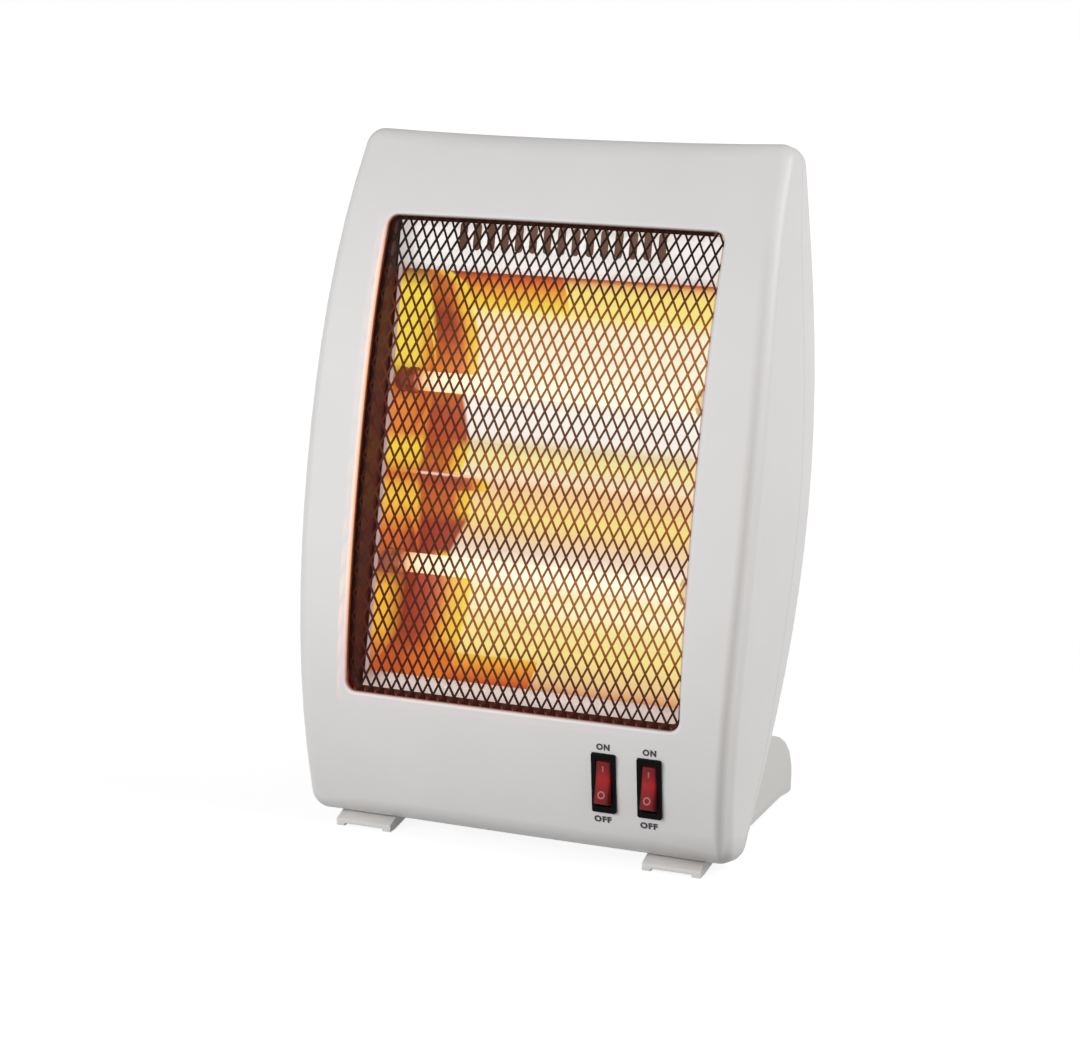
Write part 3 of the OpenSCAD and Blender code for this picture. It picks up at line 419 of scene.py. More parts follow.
bpy.ops.object.modifier_apply(modifier=steel.name)
bpy.ops.object.shade_smooth_by_angle(angle=math.radians(30))
coat(guard, black_enamel)
stand(guard, "heater", "black_steel", "guard_front_strands", "guard_rear_strands")

# ----------------------------------------------------------------------
# Guard frame. A steel rim folded round the sheet's edge and enamelled with it, which seats behind
# the lip of the window. Its right side is pale in the light of the end wall.
# ----------------------------------------------------------------------
def hem_light(tree):
    """Dull red, with small glints where the diamonds fold over along the bottom, and pale on the right."""
    x, _, z = axes(tree)
    tone = bands(tree, z, [(62, "4A180E"), (74, "521C10"), (84, "2C100A"), (320, "2A120C"), (340, "38180F")])
    fold = add(tree, *SINE, add(tree, *TIMES, x, math.tau / WIDE))
    glint = add(tree, *TIMES, add(tree, *RANGE, fold, 0.6, 0.9),
                  add(tree, *TIMES, add(tree, *RANGE, z, 67.0, 69.0), add(tree, *RANGE, z, 72.5, 70.5)))
    tone = add(tree, *MIX, glint, tone, "7E564A")
    right = add(tree, *TIMES, add(tree, *RANGE, x, 90.0, 94.0), add(tree, *RANGE, z, 80.0, 92.0))
    return add(tree, *MIX, right, tone, "E8CDBC")


hem_enamel = surface("black enamel on the folded rim", ("090807", "100D0C"), 0.5, (0.42, 0.55), 0.1,
                     glow=hem_light, power=0.7, shine=0.15)
RIM_HALF, RIM_TOP, RIM_LOW = 105.8, 342, 62.6    # the rim's outside: half its width, its top and bottom
INNER, LOW_INNER = 10.0, 1.13                    # inset of its inner edge, and how much more that is below
# its section, as inset from its outside, depth behind the face and corner radius
SECTION = ((3.4, 2.85, 2), (0, 2.85, 2), (0, 6.65, 2), (INNER, 6.65, 3.5), (INNER, 5.95, 3.5),
           (0.7, 5.95, 2), (0.7, 3.55, 2), (3.4, 3.55, 2))
rings = []
for inset, depth, radius in SECTION:
    half, top = RIM_HALF - inset - radius, RIM_TOP - inset - radius
    bottom = RIM_LOW + inset * (LOW_INNER if inset == INNER else 1) + radius
    ring = []
    for cx, cz, start in ((half, top, 0), (-half, top, 90), (-half, bottom, 180), (half, bottom, 270)):
        for i in range(7):
            turn = math.radians(start + 15 * i)
            ring.append((cx + radius * math.cos(turn), cz + radius * math.sin(turn)))
        nx, nz = {0: (-half, top + radius), 90: (-half - radius, bottom), 180: (half, bottom - radius),
                  270: (half + radius, top)}[start]
        ex, ez = ring[-1]
        ring += [(ex + (nx - ex) * i / 16, ez + (nz - ez) * i / 16) for i in range(1, 16)]
    rings.append([in_casing(x, face_y(x, z) + depth, z) for x, z in ring])
count = len(rings[0])
faces = []
for j in range(len(SECTION)):
    this, following = j * count, (j + 1) % len(SECTION) * count
    for i in range(count):
        next_i = (i + 1) % count
        faces.append((this + i, following + i, following + next_i, this + next_i))
rim_mesh = bpy.data.meshes.new("guard_rim")
rim_mesh.from_pydata([point for ring in rings for point in ring], [], faces)
rim = bpy.data.objects.new("guard_rim", rim_mesh)
bpy.context.scene.collection.objects.link(rim)
select(rim)
reshape((bpy.ops.mesh.normals_make_consistent, {"inside": False}))
bpy.ops.object.shade_smooth_by_angle(angle=math.radians(30))
coat(rim, hem_enamel)
stand(rim, "heater", "black_steel", "guard_frame")

# ----------------------------------------------------------------------
# Reflector. Polished aluminium sheet rolled into two troughs with a ridge between. Painted
# reflections show the hot tubes as bands along it, and the dark end of the guard on the left.
# ----------------------------------------------------------------------
RIDGE, TROUGH = 193.8, 56.25    # height of the ridge along the lean, and half the height of a trough


def wall_tones(tree, z):
    """Orange and yellow bands down an end wall, where the tubes light it."""
    return bands(tree, z, [
        (81, "B0623C"), (96, "D9873A"), (106, "F2B83C"), (128, "F2B63A"), (138, "A04A30"), (150, "C46030"),
        (158, "D26430"), (168, "EE9C3A"), (178, "F5C846"), (185, "F0B442"), (192, "D36A2E"), (200, "EEC644"),
        (208, "F6D446"), (216, "E08235"), (232, "E08235"), (244, "9C4630"), (256, "F1D64E"), (296, "F3D84E"),
        (305, "9A6038")])


def trough_light(tree):
    """Painted reflections: bands of light along the troughs, the dark end of the guard on the left, and the
    end wall mirrored.
    """
    x, _, z = axes(tree)
    open_part = bands(tree, z, [
        (81, "D0906A"), (88, "EEC890"), (101, "F6E48E"), (116, "F4E7A0"), (124, "F9F1C6"), (131, "F4E8AC"),
        (138, "FBF3DA"), (148, "FBF3DA"), (154, "ECD5C0"), (165, "F3CF95"), (172, "F4E186"), (190, "F5CB9A"),
        (197, "F4E6C6"), (205, "F5EA9E"), (213, "E9D8AA"), (218, "F8F0E8"), (232, "FAF4EC"), (241, "FBF3DA"),
        (280, "F9F0D0"), (287, "F7E886"), (299, "F7E27C"), (303, "EBBE72"), (305.5, "BE5C38")])
    warm = bands(tree, z, [
        (81, "B84A26"), (85, "D8682C"), (91, "EE9A36"), (96, "F3C444"), (288, "F4DA4A"), (294, "F2BE40"),
        (299, "EC9034"), (303, "DA642C"), (305.5, "A8442A")])
    ends = bands(tree, z, [(95.2, 1.0), (96.4, 0.0), (287.6, 0.0), (288.8, 1.0)])
    warmth = add(tree, *TIMES, ends, add(tree, *RANGE, x, 2.4, 1.6))
    lit = add(tree, *MIX, warmth, open_part, warm)
    # how far the dark end reaches from x = -95, as a share of 100 mm
    reach = bands(tree, z, [
        (81, 0.47), (134, 0.47), (149, 0.32), (160, 0.38), (171, 0.46), (185, 0.50), (186.5, 0.62),
        (193.5, 0.62), (195, 0.46), (208, 0.45), (214, 0.42), (236, 0.33), (241, 0.33), (252, 0.40),
        (280, 0.40), (286, 0.38), (300, 0.38), (306, 0.30)])
    inside = add(tree, *MINUS, add(tree, *TIMES, reach, 100.0), add(tree, *PLUS, x, 95.0))
    core = bands(tree, z, [
        (81, "C0562E"), (90, "D0642C"), (98, "AA442C"), (104, "A23C2C"), (120, "A03A2C"), (134, "B0402A"),
        (150, "98382A"), (166, "A03C2C"), (173, "C4602C"), (184, "C46030"), (190, "AC4A34"), (200, "C66A30"),
        (212, "B8502C"), (228, "B04C30"), (244, "C8702E"), (252, "E07C2C"), (264, "C4582A"), (276, "9E3A2A"),
        (284, "9A382A"), (294, "C0642C"), (305, "C87038")])
    pace = bands(tree, z, [(81, 0.55), (137, 0.55), (141, 1.0), (300, 1.0)])
    paced = add(tree, *TIMES, inside, pace)
    fringe = bands(tree, paced, [(0, "F5D84E"), (6, "F2B842"), (10, "E07A36"), (16, "BC5430")])
    edged = bands(tree, z, [(148, 1.0), (151, 0.0), (168, 0.0), (174, 1.0), (208, 1.0), (214, 0.0),
                            (238, 0.0), (241, 1.0)])
    fringe = add(tree, *MIX, add(tree, *RANGE, z, 104.0, 94.0), fringe, "DC742E")
    fringe = add(tree, *MIX, edged, core, fringe)
    dark = add(tree, *MIX, add(tree, *RANGE, paced, 8.0, 16.0), fringe, core)
    shown = add(tree, *MIX, add(tree, *RANGE, inside, -1.2, 1.2), lit, dark)
    # painted highlight along the ridge: a thin bright line
    crest = add(tree, *TIMES, add(tree, *RANGE, z, 192.9, 193.3), add(tree, *RANGE, z, 194.6, 194.2))
    run = add(tree, *TIMES, add(tree, *RANGE, x, -78.0, -74.0), add(tree, *RANGE, x, 4.0, -14.0))
    crest = add(tree, *TIMES, add(tree, *TIMES, crest, run), 0.8)
    shown = add(tree, *MIX, crest, shown, "F4D2C4")
    # the end wall's painted reflection in the sheet, to a line that stands upright
    along = add(tree, *SIZE, add(tree, *MINUS, add(tree, *SIZE, add(tree, *MINUS, z, RIDGE)), TROUGH))
    amount = bands(tree, z, [(81, 0.86), (236, 0.86), (256, 0.4), (306, 0.4)])
    bend = add(tree, *POWER, add(tree, *OVER, along, TROUGH), 2)
    bend = add(tree, *TIMES, bend, add(tree, *TIMES, amount, 10.0))
    wall_end = add(tree, *MINUS, add(tree, *PLUS, x, 82.6), bend)
    below = add(tree, *MIX, add(tree, *RANGE, z, 104.0, 92.0), "96382A", "BC562C")
    mirrored = add(tree, *MIX, add(tree, *RANGE, z, 140.0, 136.0), wall_tones(tree, z), below)
    shown = add(tree, *MIX, add(tree, *RANGE, wall_end, -1.5, 1.5), mirrored, shown)
    # fine rolling lines of the sheet, along the troughs
    place = add(tree, "ShaderNodeTexCoord").outputs["Object"]
    pulled = add(tree, "ShaderNodeMapping", {"Scale": (0.02, 1, 1)}, place)
    lines = add(tree, "ShaderNodeTexNoise", {"Scale": 1 / (1.1 * MM), "Detail": 2.0}, pulled)
    return add(tree, *MIX, add(tree, *TIMES, add(tree, *RANGE, lines, 0.5, 0.8), 0.14), shown, "B08A50")


reflector_metal = surface("bright anodised aluminium in the glow", ("38342E", "423E36"), 1.1, (0.3, 0.42),
                          0.05, 1.0, stretch=(0.02, 1, 1), glow=trough_light, power=0.97)
# the same sheet's back, out of the glow: a plain satin grey
plain_metal = surface("aluminium sheet, back", ("8E8C88", "9C9A95"), 1.6, (0.35, 0.5), 0.05, 1.0)
reflector = refine("reflector", "reflector_sheet", 40)
coat(reflector, reflector_metal)
back_of(reflector, plain_metal, lambda way: way.y > 0.05 or abs(way.x) > 0.9)
stand(reflector, "heater", "reflector_sheet", "reflector")

# ----------------------------------------------------------------------
# End walls of the reflector. The same sheet, sloped inward, holed for the tubes, with a flange
# that is screwed to the casing. They darken toward the back, away from the tubes.
# ----------------------------------------------------------------------
def end_light(tree):
    """Lit near the tubes, dark red toward the back, and grey on the flange outside the guard's shade."""
    x, y, z = axes(tree)
    near = wall_tones(tree, z)
    far = bands(tree, z, [
        (81, "7A4A38"), (92, "A85230"), (106, "963824"), (128, "963824"), (155, "8C3028"), (168, "9E3B22"),
        (180, "D0582A"), (192, "B43F28"), (204, "C07A38"), (224, "B4462A"), (256, "D76430"), (296, "D76430"),
        (305, "7A4430")])
    above, below = add(tree, *RANGE, y, 15.0, 27.0), add(tree, *RANGE, y, 9.0, 21.0)
    wall = add(tree, *MIX, add(tree, *MIX, add(tree, *RANGE, z, 140.0, 136.0), above, below), near, far)
    out = add(tree, *SIZE, x)
    flange = add(tree, *TIMES, add(tree, *RANGE, out, 94.4, 94.8), add(tree, *RANGE, y, 1.0, 0.7))
    edge = add(tree, *MIX, add(tree, *RANGE, out, 96.2, 96.8), "B79E9C", "2C120E")
    return add(tree, *MIX, flange, wall, edge)


end_metal = surface("aluminium sheet at the ends", ("342E28", "3E3830"), 1.1, (0.32, 0.44), 0.05, 1.0,
                    glow=end_light, power=0.97)
for side in ("left", "right"):
    end = refine("reflector_end_" + side, "reflector_wall_" + side, 40, 0.15)
    coat(end, end_metal)
    back_of(end, plain_metal, lambda way: way.y > 0.05 or way.x * (1 if side == "right" else -1) > 0.05)
    stand(end, "heater", "reflector_sheet", "reflector_end_" + side)

# ----------------------------------------------------------------------
# Slotted plate above the reflector, with a curled upper edge, and the plain plate below it.
# Satin aluminium, nearly white in the light of the tubes.
# ----------------------------------------------------------------------
def plate_light(tree):
    """Nearly white above the reflector, and a little darker where the sheet meets it."""
    return bands(tree, axes(tree)[2], [
        (62, "B8A8A0"), (72, "CEBCB4"), (78, "B49C90"), (82, "A07460"), (305, "C09A8C"), (310, "D0C8C4"),
        (324, "D6D0CC"), (338, "CEC4BE")])


plate_metal = surface("satin aluminium sheet", ("8A8885", "989692"), 1.6, (0.35, 0.5), 0.05, 0.8,
                      glow=plate_light, power=0.85)
for node, name in (("slotted_plate", "upper_plate"), ("lower_plate", "bottom_plate")):
    sheet = refine(node, name, bevel=0.2)
    coat(sheet, plate_metal)
    back_of(sheet, plain_metal, lambda way: way.y > 0.05 or abs(way.x) > 0.6)
    stand(sheet, "heater", "plate_sheet", node)

# ----------------------------------------------------------------------
# Side shields. Steel sheet that closes the gap between the guard and the reflector on each side,
# browned by the heat and nearly black, with a faint painted red-brown light that is darkest low down.
# ----------------------------------------------------------------------
def shield_light(tree):
    """Painted light: a faint red-brown, darkest low down."""
    return bands(tree, axes(tree)[2], [(70, "240E0A"), (100, "3A1812"), (300, "452420"), (334, "36211E")])


brown_steel = surface("heat-browned steel", ("261713", "33211B"), 1.4, (0.45, 0.6), 0.1, 0.3,
                      glow=shield_light, power=0.9)
shields = refine("side_shields", "shields", bevel=0.15)
coat(shields, brown_steel)
stand(shields, "heater", "brown_sheet", "side_shields")

# ----------------------------------------------------------------------
# Quartz tubes. Frosted fused quartz, 11 mm, open at both ends, white-hot from the coils inside
# and dull red where the coils stop.
# ----------------------------------------------------------------------
def tube_light(tree):
    """White-hot over the coil, dull red on the left end, amber on the right end."""
    return bands(tree, axes(tree)[0], [
        (-92, "4A1E16"), (-82, "A8482C"), (-78, "EBB070"), (-70, "FAE8C0"), (-40, "FCF3DA"), (70, "FCF3DA"),
        (80, "FBE8BE"), (86, "F0CC90"), (92, "D8A468")])


quartz, tree = finish_of("frosted quartz, lit from inside")
place = add(tree, "ShaderNodeTexCoord").outputs["Object"]
frost = add(tree, "ShaderNodeTexNoise", {"Scale": 1 / (0.6 * MM), "Detail": 2.0}, place)
gloss = add(tree, *RANGE, frost, 0, 1, 0.25, 0.45)
look = {"Base Color": "A89E8C", "Roughness": gloss, "IOR": 1.46, "Alpha": 0.88,
        "Emission Color": tube_light(tree), "Emission Strength": 0.93}
add(tree, "ShaderNodeOutputMaterial", {}, add(tree, "ShaderNodeBsdfPrincipled", look))
for level in ("upper", "lower"):
    tube = refine(level + "_tube", level + "_quartz_tube", 40, 0.12)
    coat(tube, quartz)
    stand(tube, "heater", "quartz", level + "_tube")

# ----------------------------------------------------------------------
# Heating coils. Resistance wire wound on 4.6 mm, lying in the tube, with a straight tail at
# each end that runs into the cap.
# ----------------------------------------------------------------------
def coil_light(tree):
    """Yellow-hot along the middle and dark at the tails."""
    return bands(tree, axes(tree)[0], [
        (-100, "3A0E06"), (-80, "A83412"), (-70, "FF9A3C"), (-50, "FFC86A"), (50, "FFC86A"), (70, "FF9A3C"),
        (80, "A83412"), (100, "3A0E06")])


hot_wire = surface("iron-chromium wire, hot", ("5A4438", "6A5244"), 0.4, (0.45, 0.6), 0.1, 0.8,
                   glow=coil_light, power=1.2)
TURNS, STEPS = 110, 12                           # turns of one coil, and the points of one turn
HALF, TURN_R, WIRE_R = 77.0, 2.3, 0.35           # half its length, its radius, and the wire's
TUBE_DEPTH, TAIL_AT, TAIL_END = 9, 90.0, 102.0   # depth of the tubes' axes, and the tails' places along
for level, z0 in (("upper", 244.55), ("lower", 143.05)):
    points = [(x, TURN_R, 0.0) for x in (-TAIL_END, -TAIL_AT, -HALF - 1)]
    for i in range(TURNS * STEPS + 1):
        turn = math.tau * i / STEPS
        x = -HALF + 2 * HALF * i / (TURNS * STEPS)
        points.append((x, TURN_R * math.cos(turn), TURN_R * math.sin(turn)))
    points += [(x, TURN_R, 0.0) for x in (HALF + 1, TAIL_AT, TAIL_END)]
    line = bpy.data.curves.new(level + "_coil", "CURVE")
    line.dimensions, line.bevel_depth, line.bevel_resolution, line.use_fill_caps = "3D", WIRE_R * MM, 1, True
    spline = line.splines.new("POLY")
    spline.points.add(len(points) - 1)
    for point, (x, y, z) in zip(spline.points, points):
        point.co = in_casing(x, TUBE_DEPTH + y, z0 + z).to_4d()
    coil = bpy.data.objects.new(level + "_coil", line)
    bpy.context.scene.collection.objects.link(coil)
    select(coil)
    bpy.ops.object.convert(target="MESH")
    coil = bpy.context.object
    bpy.ops.object.shade_smooth_by_angle(angle=math.radians(60))
    coat(coil, hot_wire)
    stand(coil, "heater", "hot_wire", level + "_element")

# ----------------------------------------------------------------------
# Ceramic caps on the tubes' ends, and the steel spring clips that hold them to the end walls.
# Dull red on the left, where the guard's shadow falls, and bright in the tubes' light on the right.
# ----------------------------------------------------------------------
def cap_light(tree):
    """Dull red on the left, darker on the upper tube, and lit yellow on the right."""
    x, _, z = axes(tree)
    high = bands(tree, x, [(-104, "240C08"), (-94, "5E241A"), (-84, "8A3A24"), (82, "F0DCA8"), (94, "E2C088"),
                           (104, "3A2018")])
    low = bands(tree, x, [(-104, "48241A"), (-94, "8A5442"), (-84, "A85A36"), (82, "F0DCA8"), (94, "E2C088"),
                          (104, "3A2018")])
    return add(tree, *MIX, add(tree, *RANGE, z, 180.0, 200.0), low, high)


steatite = surface("steatite ceramic", ("5A4038", "684A40"), 0.7, (0.55, 0.7), 0.12, glow=cap_light,
                   power=0.9)
clip_steel = surface("spring steel, heat-browned", ("3A2A24", "503830"), 0.9, (0.35, 0.5), 0.08, 0.8,
                     glow=cap_light, power=0.7)
for level in ("upper", "lower"):
    caps = refine(level + "_tube_caps", level + "_caps", 40, 0.4)
    coat(caps, steatite)
    stand(caps, "heater", "ceramic", level + "_tube_caps")
    clips = refine(level + "_tube_clips", level + "_clips", 40, 0.12)
    coat(clips, clip_steel)
    stand(clips, "heater", "clip_steel", level + "_tube_clips")

# ----------------------------------------------------------------------
# Switch housings. Black nylon mouldings, pushed in from the front until the flange lies on the
# face. Deep black, with hardly a highlight on the flange's rounded edge.
# ----------------------------------------------------------------------
black_nylon = surface("black nylon", ("030202", "060505"), 0.8, (0.42, 0.55), 0.06, ior=1.52, shine=0.06)
for i in ("1", "2"):
    box = refine("switch_%s_housing" % i, "switch_housing_" + i, bevel=0.3)
    coat(box, black_nylon)
    stand(box, "heater", "black_nylon", "switch_%s_housing" % i)

# ----------------------------------------------------------------------
# Rockers. Translucent red polycarbonate, lit a little from behind, each with an I above and an
# O below printed in pale red.
# ----------------------------------------------------------------------
MIDWAY, PITCH = 69.6, 25.6      # between the two switches, and from one to the other


def rocker_painted_shade(tree, plastic):
    """Painted shade: deep red sides, where the rocker stands in its housing's shade."""
    between = add(tree, *SIZE, add(tree, *MINUS, axes(tree)[0], MIDWAY))
    off = add(tree, *SIZE, add(tree, *MINUS, between, PITCH / 2))
    return add(tree, *MIX, add(tree, *RANGE, off, 2.9, 3.5), plastic, "300406")


def rocker_light(tree):
    """The lamp behind the rocker shows most at its middle."""
    return bands(tree, axes(tree)[2], [(24, "3A0A0C"), (33, "5A1012"), (40, "961214"), (45, "5A080C"),
                                       (51, "2A0406")])


red_plastic = surface("red polycarbonate", ("620A0E", "700C12"), 0.8, (0.34, 0.44), 0.04, ior=1.58,
                      glow=rocker_light, power=0.7, painted_shade=rocker_painted_shade, shine=0.12)
pale_print = surface("pale red print", ("B4605E", "C06C68"), 0.5, (0.5, 0.6), 0.05)
SWITCH_Z, SLOPE = 37.9, 0.306651    # the switches' height, and the face's slope there
PIVOT_IN, TILT = 3.3, 14            # from the face in to the pivot, and degrees from level to ON
MARK_AT = 7                         # from the rocker's middle to the middle of a mark
CREST, BROW, RUN = 5.5, 7, 13       # the rocker's height over its pivot in the middle and at an end, RUN away
for i, x, body in (("1", 56.8, "first_rocker"), ("2", 82.4, "second_rocker")):
    rocker = refine("rocker_" + i, "rocker_cap_" + i, bevel=0.4)
    coat(rocker, red_plastic)
    stand(rocker, body, "red_rocker", "rocker_" + i)
    seat = CASING @ Matrix.Translation(Vector((x, face_y(x, SWITCH_Z), SWITCH_Z)) * MM)
    seat = seat @ Matrix.Rotation(math.atan(SLOPE), 4, "X") @ Matrix.Translation((0, PIVOT_IN * MM, 0))
    seat = seat @ Matrix.Rotation(math.radians(-TILT), 4, "X")
    # the I, a bar with round ends, and the O, a flat ring, each lying on its half of the rocker
    for mark, up in (("I", 1), ("O", -1)):
        if mark == "I":
            bpy.ops.mesh.primitive_cube_add(size=1, scale=(0.8 * MM, 0.16 * MM, 3.2 * MM))
            reshape((bpy.ops.mesh.bevel, {"offset": 0.06 * MM, "segments": 2}))
        else:
            bpy.ops.mesh.primitive_torus_add(major_radius=1.75 * MM, minor_radius=0.42 * MM,
                                             major_segments=40, minor_segments=10,
                                             rotation=(math.radians(90), 0, 0))
            bpy.ops.object.transform_apply(location=False, rotation=True, scale=False)
            reshape((bpy.ops.transform.resize, {"value": (1, 0.19, 1)}))
        piece = bpy.context.object
        piece.name = piece.data.name = "mark_%s_%s" % (mark, i)
        bpy.ops.object.transform_apply(location=True, rotation=True, scale=True)
        rise = (BROW - CREST) / RUN
        lift = Matrix.Translation((0, -(CREST + rise * MARK_AT + 0.03) * MM, up * MARK_AT * MM))
        piece.data.transform(seat @ lift @ Matrix.Rotation(up * math.atan(rise), 4, "X"))
        bpy.ops.object.shade_smooth_by_angle(angle=math.radians(40))
        coat(piece, pale_print)
        stand(piece, body, None)

# ----------------------------------------------------------------------
# ON and OFF, pad-printed on the face in dark grey above and below each switch, with the ink a
# tenth of a millimetre proud.
# ----------------------------------------------------------------------
grey_ink = surface("dark grey printing ink", ("2C2C2E", "353537"), 0.4, (0.5, 0.6), 0.05)
LETTER_H, PROUD = 3.5, 0.1    # height of the capitals, and how far they stand off the face
for word, x, z, wide in (("ON", 56.4, 57.5, 7.5), ("ON", 82.4, 57.4, 7.5), ("OFF", 55.4, 17.6, 9.7),
                         ("OFF", 81.3, 17.2, 9.7)):
    bpy.ops.object.text_add(rotation=(math.radians(90), 0, 0))
    label = bpy.context.object
    letters = label.data
    letters.body, letters.size, letters.align_x, letters.align_y = word, 5.0 * MM, "CENTER", "CENTER"
    letters.extrude, letters.offset, letters.resolution_u = 0.06 * MM, 0.25 * MM, 6
    letters.space_character = 1.2
    bpy.ops.object.convert(target="MESH")
    label = bpy.context.object
    label.name = label.data.name = "print_%s_%d" % (word.lower(), round(x))
    bpy.ops.object.transform_apply(location=False, rotation=True, scale=False)
    reshape((bpy.ops.mesh.remove_doubles, {"threshold": 0.001 * MM}))
    xs, zs = [v.co.x for v in label.data.vertices], [v.co.z for v in label.data.vertices]
    left, low, across, up = min(xs), min(zs), max(xs) - min(xs), max(zs) - min(zs)
    for vertex in label.data.vertices:
        px = x + ((vertex.co.x - left) / across - 0.5) * wide
        pz = z + ((vertex.co.z - low) / up - 0.5) * LETTER_H
        vertex.co = in_casing(px, face_y(px, pz) + vertex.co.y / MM - PROUD, pz)
    coat(label, grey_ink)
    stand(label, "heater", None)

# ----------------------------------------------------------------------
# Feet. Hollow ABS mouldings, each with a thin toe in front and a high rounded hump behind. The
# same matt white as the casing, a shade warmer.
# ----------------------------------------------------------------------
def foot_painted_shade(tree, plastic):
    """Painted shade: the hump is a little darker behind, and the toe is a little brighter."""
    y = add(tree, "ShaderNodeSeparateXYZ", {}, add(tree, "ShaderNodeTexCoord").outputs["Object"]).outputs["Y"]
    return add(tree, *MIX, add(tree, *RANGE, y, 0.0, -0.06), "D4D1CD",
               add(tree, *MIX, 0.2, "EAE7E5", plastic))


foot_abs = surface("white ABS, feet", ("E0DDDA", "E7E4E1"), 0.9, (0.36, 0.46), 0.08, ior=1.53,
                   painted_shade=foot_painted_shade)
for side in ("left", "right"):
    foot = refine("foot_" + side, "foot_bar_" + side, bevel=0.9)
    coat(foot, foot_abs)
    stand(foot, "heater", "white_abs", "foot_" + side)

# ----------------------------------------------------------------------
# Screws. Zinc-plated steel, cool and fairly bright, pan head with a cross recess: four hold the
# casing together, four hold the reflector and four hold the feet.
# ----------------------------------------------------------------------
zinc = surface("zinc-plated steel", ("9C9DA0", "ABACAF"), 0.6, (0.28, 0.4), 0.06, 1.0)
bpy.ops.mesh.primitive_cylinder_add(vertices=32, radius=3 * MM, depth=2 * MM, location=(0, 0, 1 * MM))
screw = bpy.context.object
bpy.ops.object.transform_apply(location=True, rotation=False, scale=False)
dome = screw.modifiers.new("dome", "BEVEL")
dome.width, dome.segments, dome.limit_method = 0.8 * MM, 4, "ANGLE"
bpy.ops.object.modifier_apply(modifier=dome.name)
for turn in (0, 90):
    bpy.ops.mesh.primitive_cube_add(size=1, location=(0, 0, 1.7 * MM), rotation=(0, 0, math.radians(turn)),
                                    scale=(3.2 * MM, 0.7 * MM, 1.4 * MM))
    cutter = bpy.context.object
    bpy.ops.object.transform_apply(location=True, rotation=True, scale=True)
    select(screw)
    recess = screw.modifiers.new("recess", "BOOLEAN")
    recess.object, recess.operation, recess.solver = cutter, "DIFFERENCE", "EXACT"
    bpy.ops.object.modifier_apply(modifier=recess.name)
    bpy.data.objects.remove(cutter, do_unlink=True)
bpy.ops.mesh.primitive_cylinder_add(vertices=24, radius=1.2 * MM, depth=9 * MM, location=(0, 0, -4.45 * MM))
shank = bpy.context.object
bpy.ops.object.transform_apply(location=True, rotation=False, scale=False)
tip = shank.modifiers.new("end", "BEVEL")
tip.width, tip.segments, tip.limit_method = 0.4 * MM, 2, "ANGLE"
bpy.ops.object.modifier_apply(modifier=tip.name)
select(screw, shank)
bpy.ops.object.join()
bpy.ops.object.shade_smooth_by_angle(angle=math.radians(35))
coat(screw, zinc)
# the seats of the heads, as X, Y, Z in the casing's own frame, and the way that each screw goes in
inward, down = Matrix.Rotation(math.radians(-90), 4, "X"), Matrix.Rotation(math.radians(180), 4, "X")
sets = {
    "casing_screws": [(x, y, z, inward) for x in (-112, 112) for y, z in ((36.56, 30), (25.64, 354.6))],
    "mount_screws": [(x, 0.8, z, inward) for x in (-111.7, 111.7) for z in (91.3, 296.3)],
    "foot_screws": [(x, 16, -3, down) for x in (-101, -83, 83, 101)]}
for node, places in sets.items():
    group = []
    for x, y, z, turn in places:
        copy = screw.copy()
        copy.data = screw.data.copy()
        copy.data.transform(CASING @ Matrix.Translation(Vector((x, y, z)) * MM) @ turn)
        bpy.context.scene.collection.objects.link(copy)
        group.append(copy)
    select(*group)
    bpy.ops.object.join()
    group[0].name = group[0].data.name = node.replace("screws", "pan_screws")
    stand(group[0], "heater", "zinc_steel", node)
bpy.data.objects.remove(screw, do_unlink=True)

# ----------------------------------------------------------------------
# Cord bush. Soft black PVC, dull and a little greyed, pressed into the rear cover low on the left
# as the front is seen.
# ----------------------------------------------------------------------
black_pvc = surface("black PVC", ("121111", "1B1A1A"), 1.0, (0.45, 0.6), 0.12)
bush = refine("cord_gland", "cord_bush", bevel=0.3)
coat(bush, black_pvc)
stand(bush, "heater", "black_nylon", "cord_gland")

# ----------------------------------------------------------------------
# Parts inside the casing: spade tabs, terminal block, thermal cut-out and the tip-over switch, in
# pale gold tinned brass, glossy ivory ceramic, dark anodised aluminium, and dull grey zinc. They show
# through the rear slots.
# ----------------------------------------------------------------------
brass = surface("tin-plated brass", ("C9B07A", "D6C08C"), 0.7, (0.25, 0.35), 0.05, 1.0)
ceramic = surface("glazed ceramic", ("E2DDD0", "EBE7DC"), 1.2, (0.2, 0.3), 0.05)
anodised = surface("dark anodised aluminium", ("3A3B3E", "47484C"), 0.8, (0.35, 0.45), 0.06, 0.9)
lead = surface("die-cast zinc", ("7C7D80", "8C8D90"), 0.9, (0.45, 0.6), 0.12, 1.0)
for node, name, material, body, slot, width in (
        ("switch_terminals", "spade_tabs", brass, "heater", "brass", 0.1),
        ("terminal_block", "connector_block", ceramic, "heater", "ceramic", 0.4),
        ("thermal_cutout", "thermal_disc", anodised, "heater", "grey_steel", 0.2),
        ("tip_over_bracket", "tip_bracket", zinc, "heater", "zinc_steel", 0.2),
        ("tip_over_pin", "tip_pin", zinc, "heater", "zinc_steel", 0.15),
        ("tip_over_arm", "tip_weight", lead, "tip_over_arm_body", "grey_steel", 0.25),
        ("tip_over_microswitch", "microswitch", black_nylon, "heater", "black_nylon", 0.2)):
    piece = refine(node, name, bevel=width)
    coat(piece, material)
    stand(piece, body, slot, node)

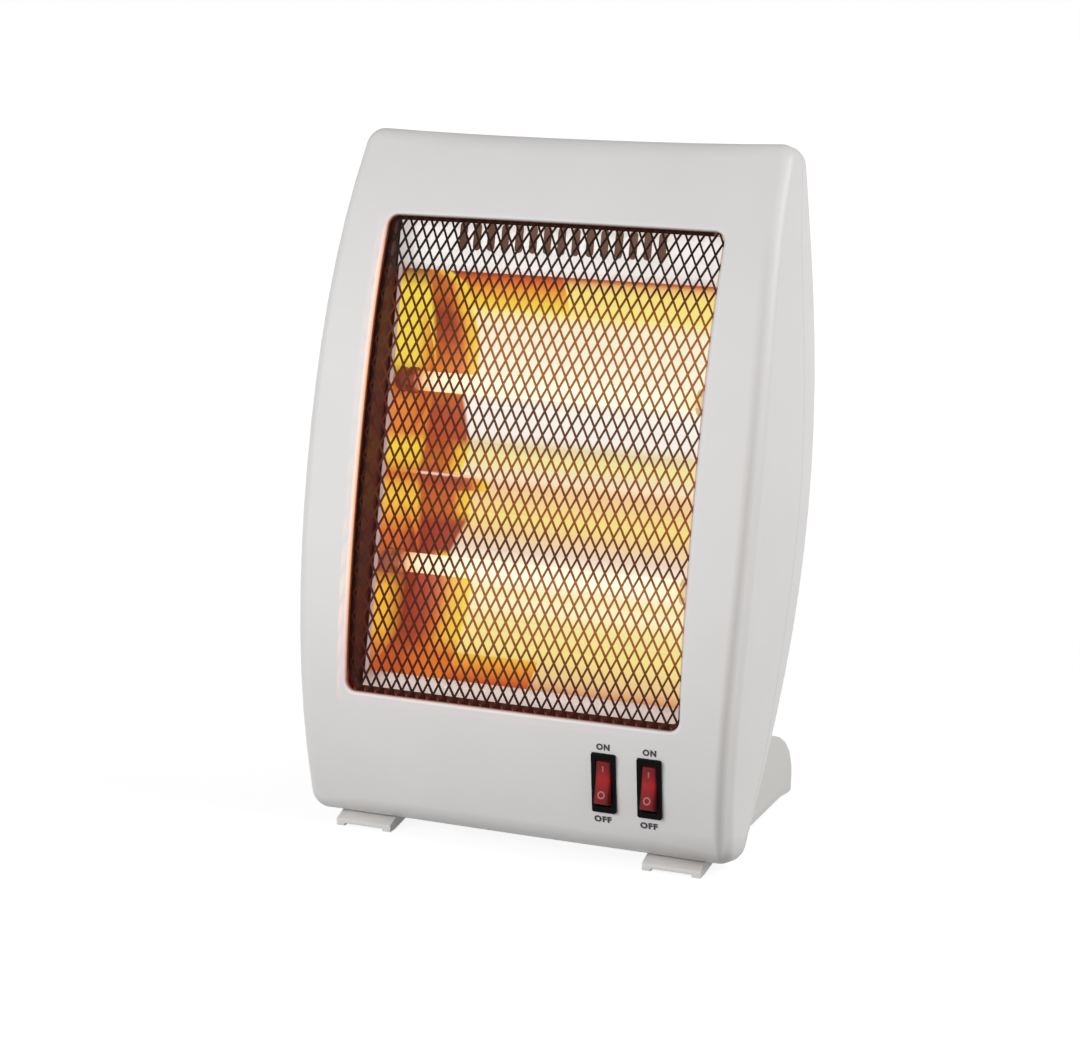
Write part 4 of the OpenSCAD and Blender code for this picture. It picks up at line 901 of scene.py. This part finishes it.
# ----------------------------------------------------------------------
# Studio. A plain pale floor and sky, two soft lamps, and the camera where the photograph was
# taken. Floor and sky look white to the camera but light the heater less than that.
# ----------------------------------------------------------------------
bpy.ops.mesh.primitive_circle_add(vertices=96, radius=6, fill_type="NGON")
floor = bpy.context.object
floor.name = "floor"
paper, tree = finish_of("white paper floor")
rays = add(tree, "ShaderNodeLightPath").outputs
seen = add(tree, *LARGER, rays["Is Camera Ray"], rays["Is Glossy Ray"])
seen = add(tree, *LARGER, seen, rays["Is Transmission Ray"])
away = add(tree, "ShaderNodeVectorMath", {"operation": "LENGTH"},
           add(tree, "ShaderNodeTexCoord").outputs["Object"])
level = add(tree, *TIMES, seen, add(tree, *RANGE, away, 0.5, 2.0, 0.86, 1.0))
wash = add(tree, "ShaderNodeEmission", {"Color": "FFFFFF", "Strength": level})
both = add(tree, "ShaderNodeAddShader", {}, add(tree, "ShaderNodeBsdfDiffuse", {"Color": "8C8C8C"}), wash)
add(tree, "ShaderNodeOutputMaterial", {}, both)
coat(floor, paper)
floor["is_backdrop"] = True

world = bpy.data.worlds.new("white studio")
bpy.context.scene.world = world
world.use_nodes = True
tree = world.node_tree
tree.nodes.clear()
rays = add(tree, "ShaderNodeLightPath").outputs
seen = add(tree, *LARGER, rays["Is Camera Ray"], rays["Is Transmission Ray"])
up = add(tree, "ShaderNodeSeparateXYZ", {}, add(tree, "ShaderNodeTexCoord").outputs["Generated"]).outputs["Z"]
level = add(tree, *LARGER, seen, add(tree, *RANGE, up, 0.0, 1.0, 0.48, 0.18))
sky = add(tree, "ShaderNodeBackground", {"Color": "FFFFFF", "Strength": level})
add(tree, "ShaderNodeOutputWorld", {}, sky)


def lamp(name, place, size, power):
    """A square soft box at a place, turned to face the heater."""
    light = bpy.data.lights.new(name, "AREA")
    light.size = size
    light.energy = power
    box = bpy.data.objects.new(name, light)
    box.location = place
    aim = Vector((0, 0, 0.2)) - Vector(place)
    box.rotation_euler = aim.to_track_quat("-Z", "Y").to_euler()
    bpy.context.scene.collection.objects.link(box)


lamp("front left", (-0.8, -1.8, 0.75), 1.4, 24.5)
lamp("right", (1.85, 0.25, 1.15), 1.4, 25)

eye = bpy.data.cameras.new("camera")
eye.lens = 91.2
eye.sensor_width = 36
eye.sensor_fit = "HORIZONTAL"
eye.clip_start = 0.05
camera = bpy.data.objects.new("camera", eye)
camera.location = (0.566749, -1.371231, 0.527923)
camera.rotation_euler = (math.radians(90 - 13.680), 0, math.radians(22.972))
bpy.context.scene.collection.objects.link(camera)
bpy.context.scene.camera = camera
bpy.context.scene.view_settings.view_transform = "Standard"

low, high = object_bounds()
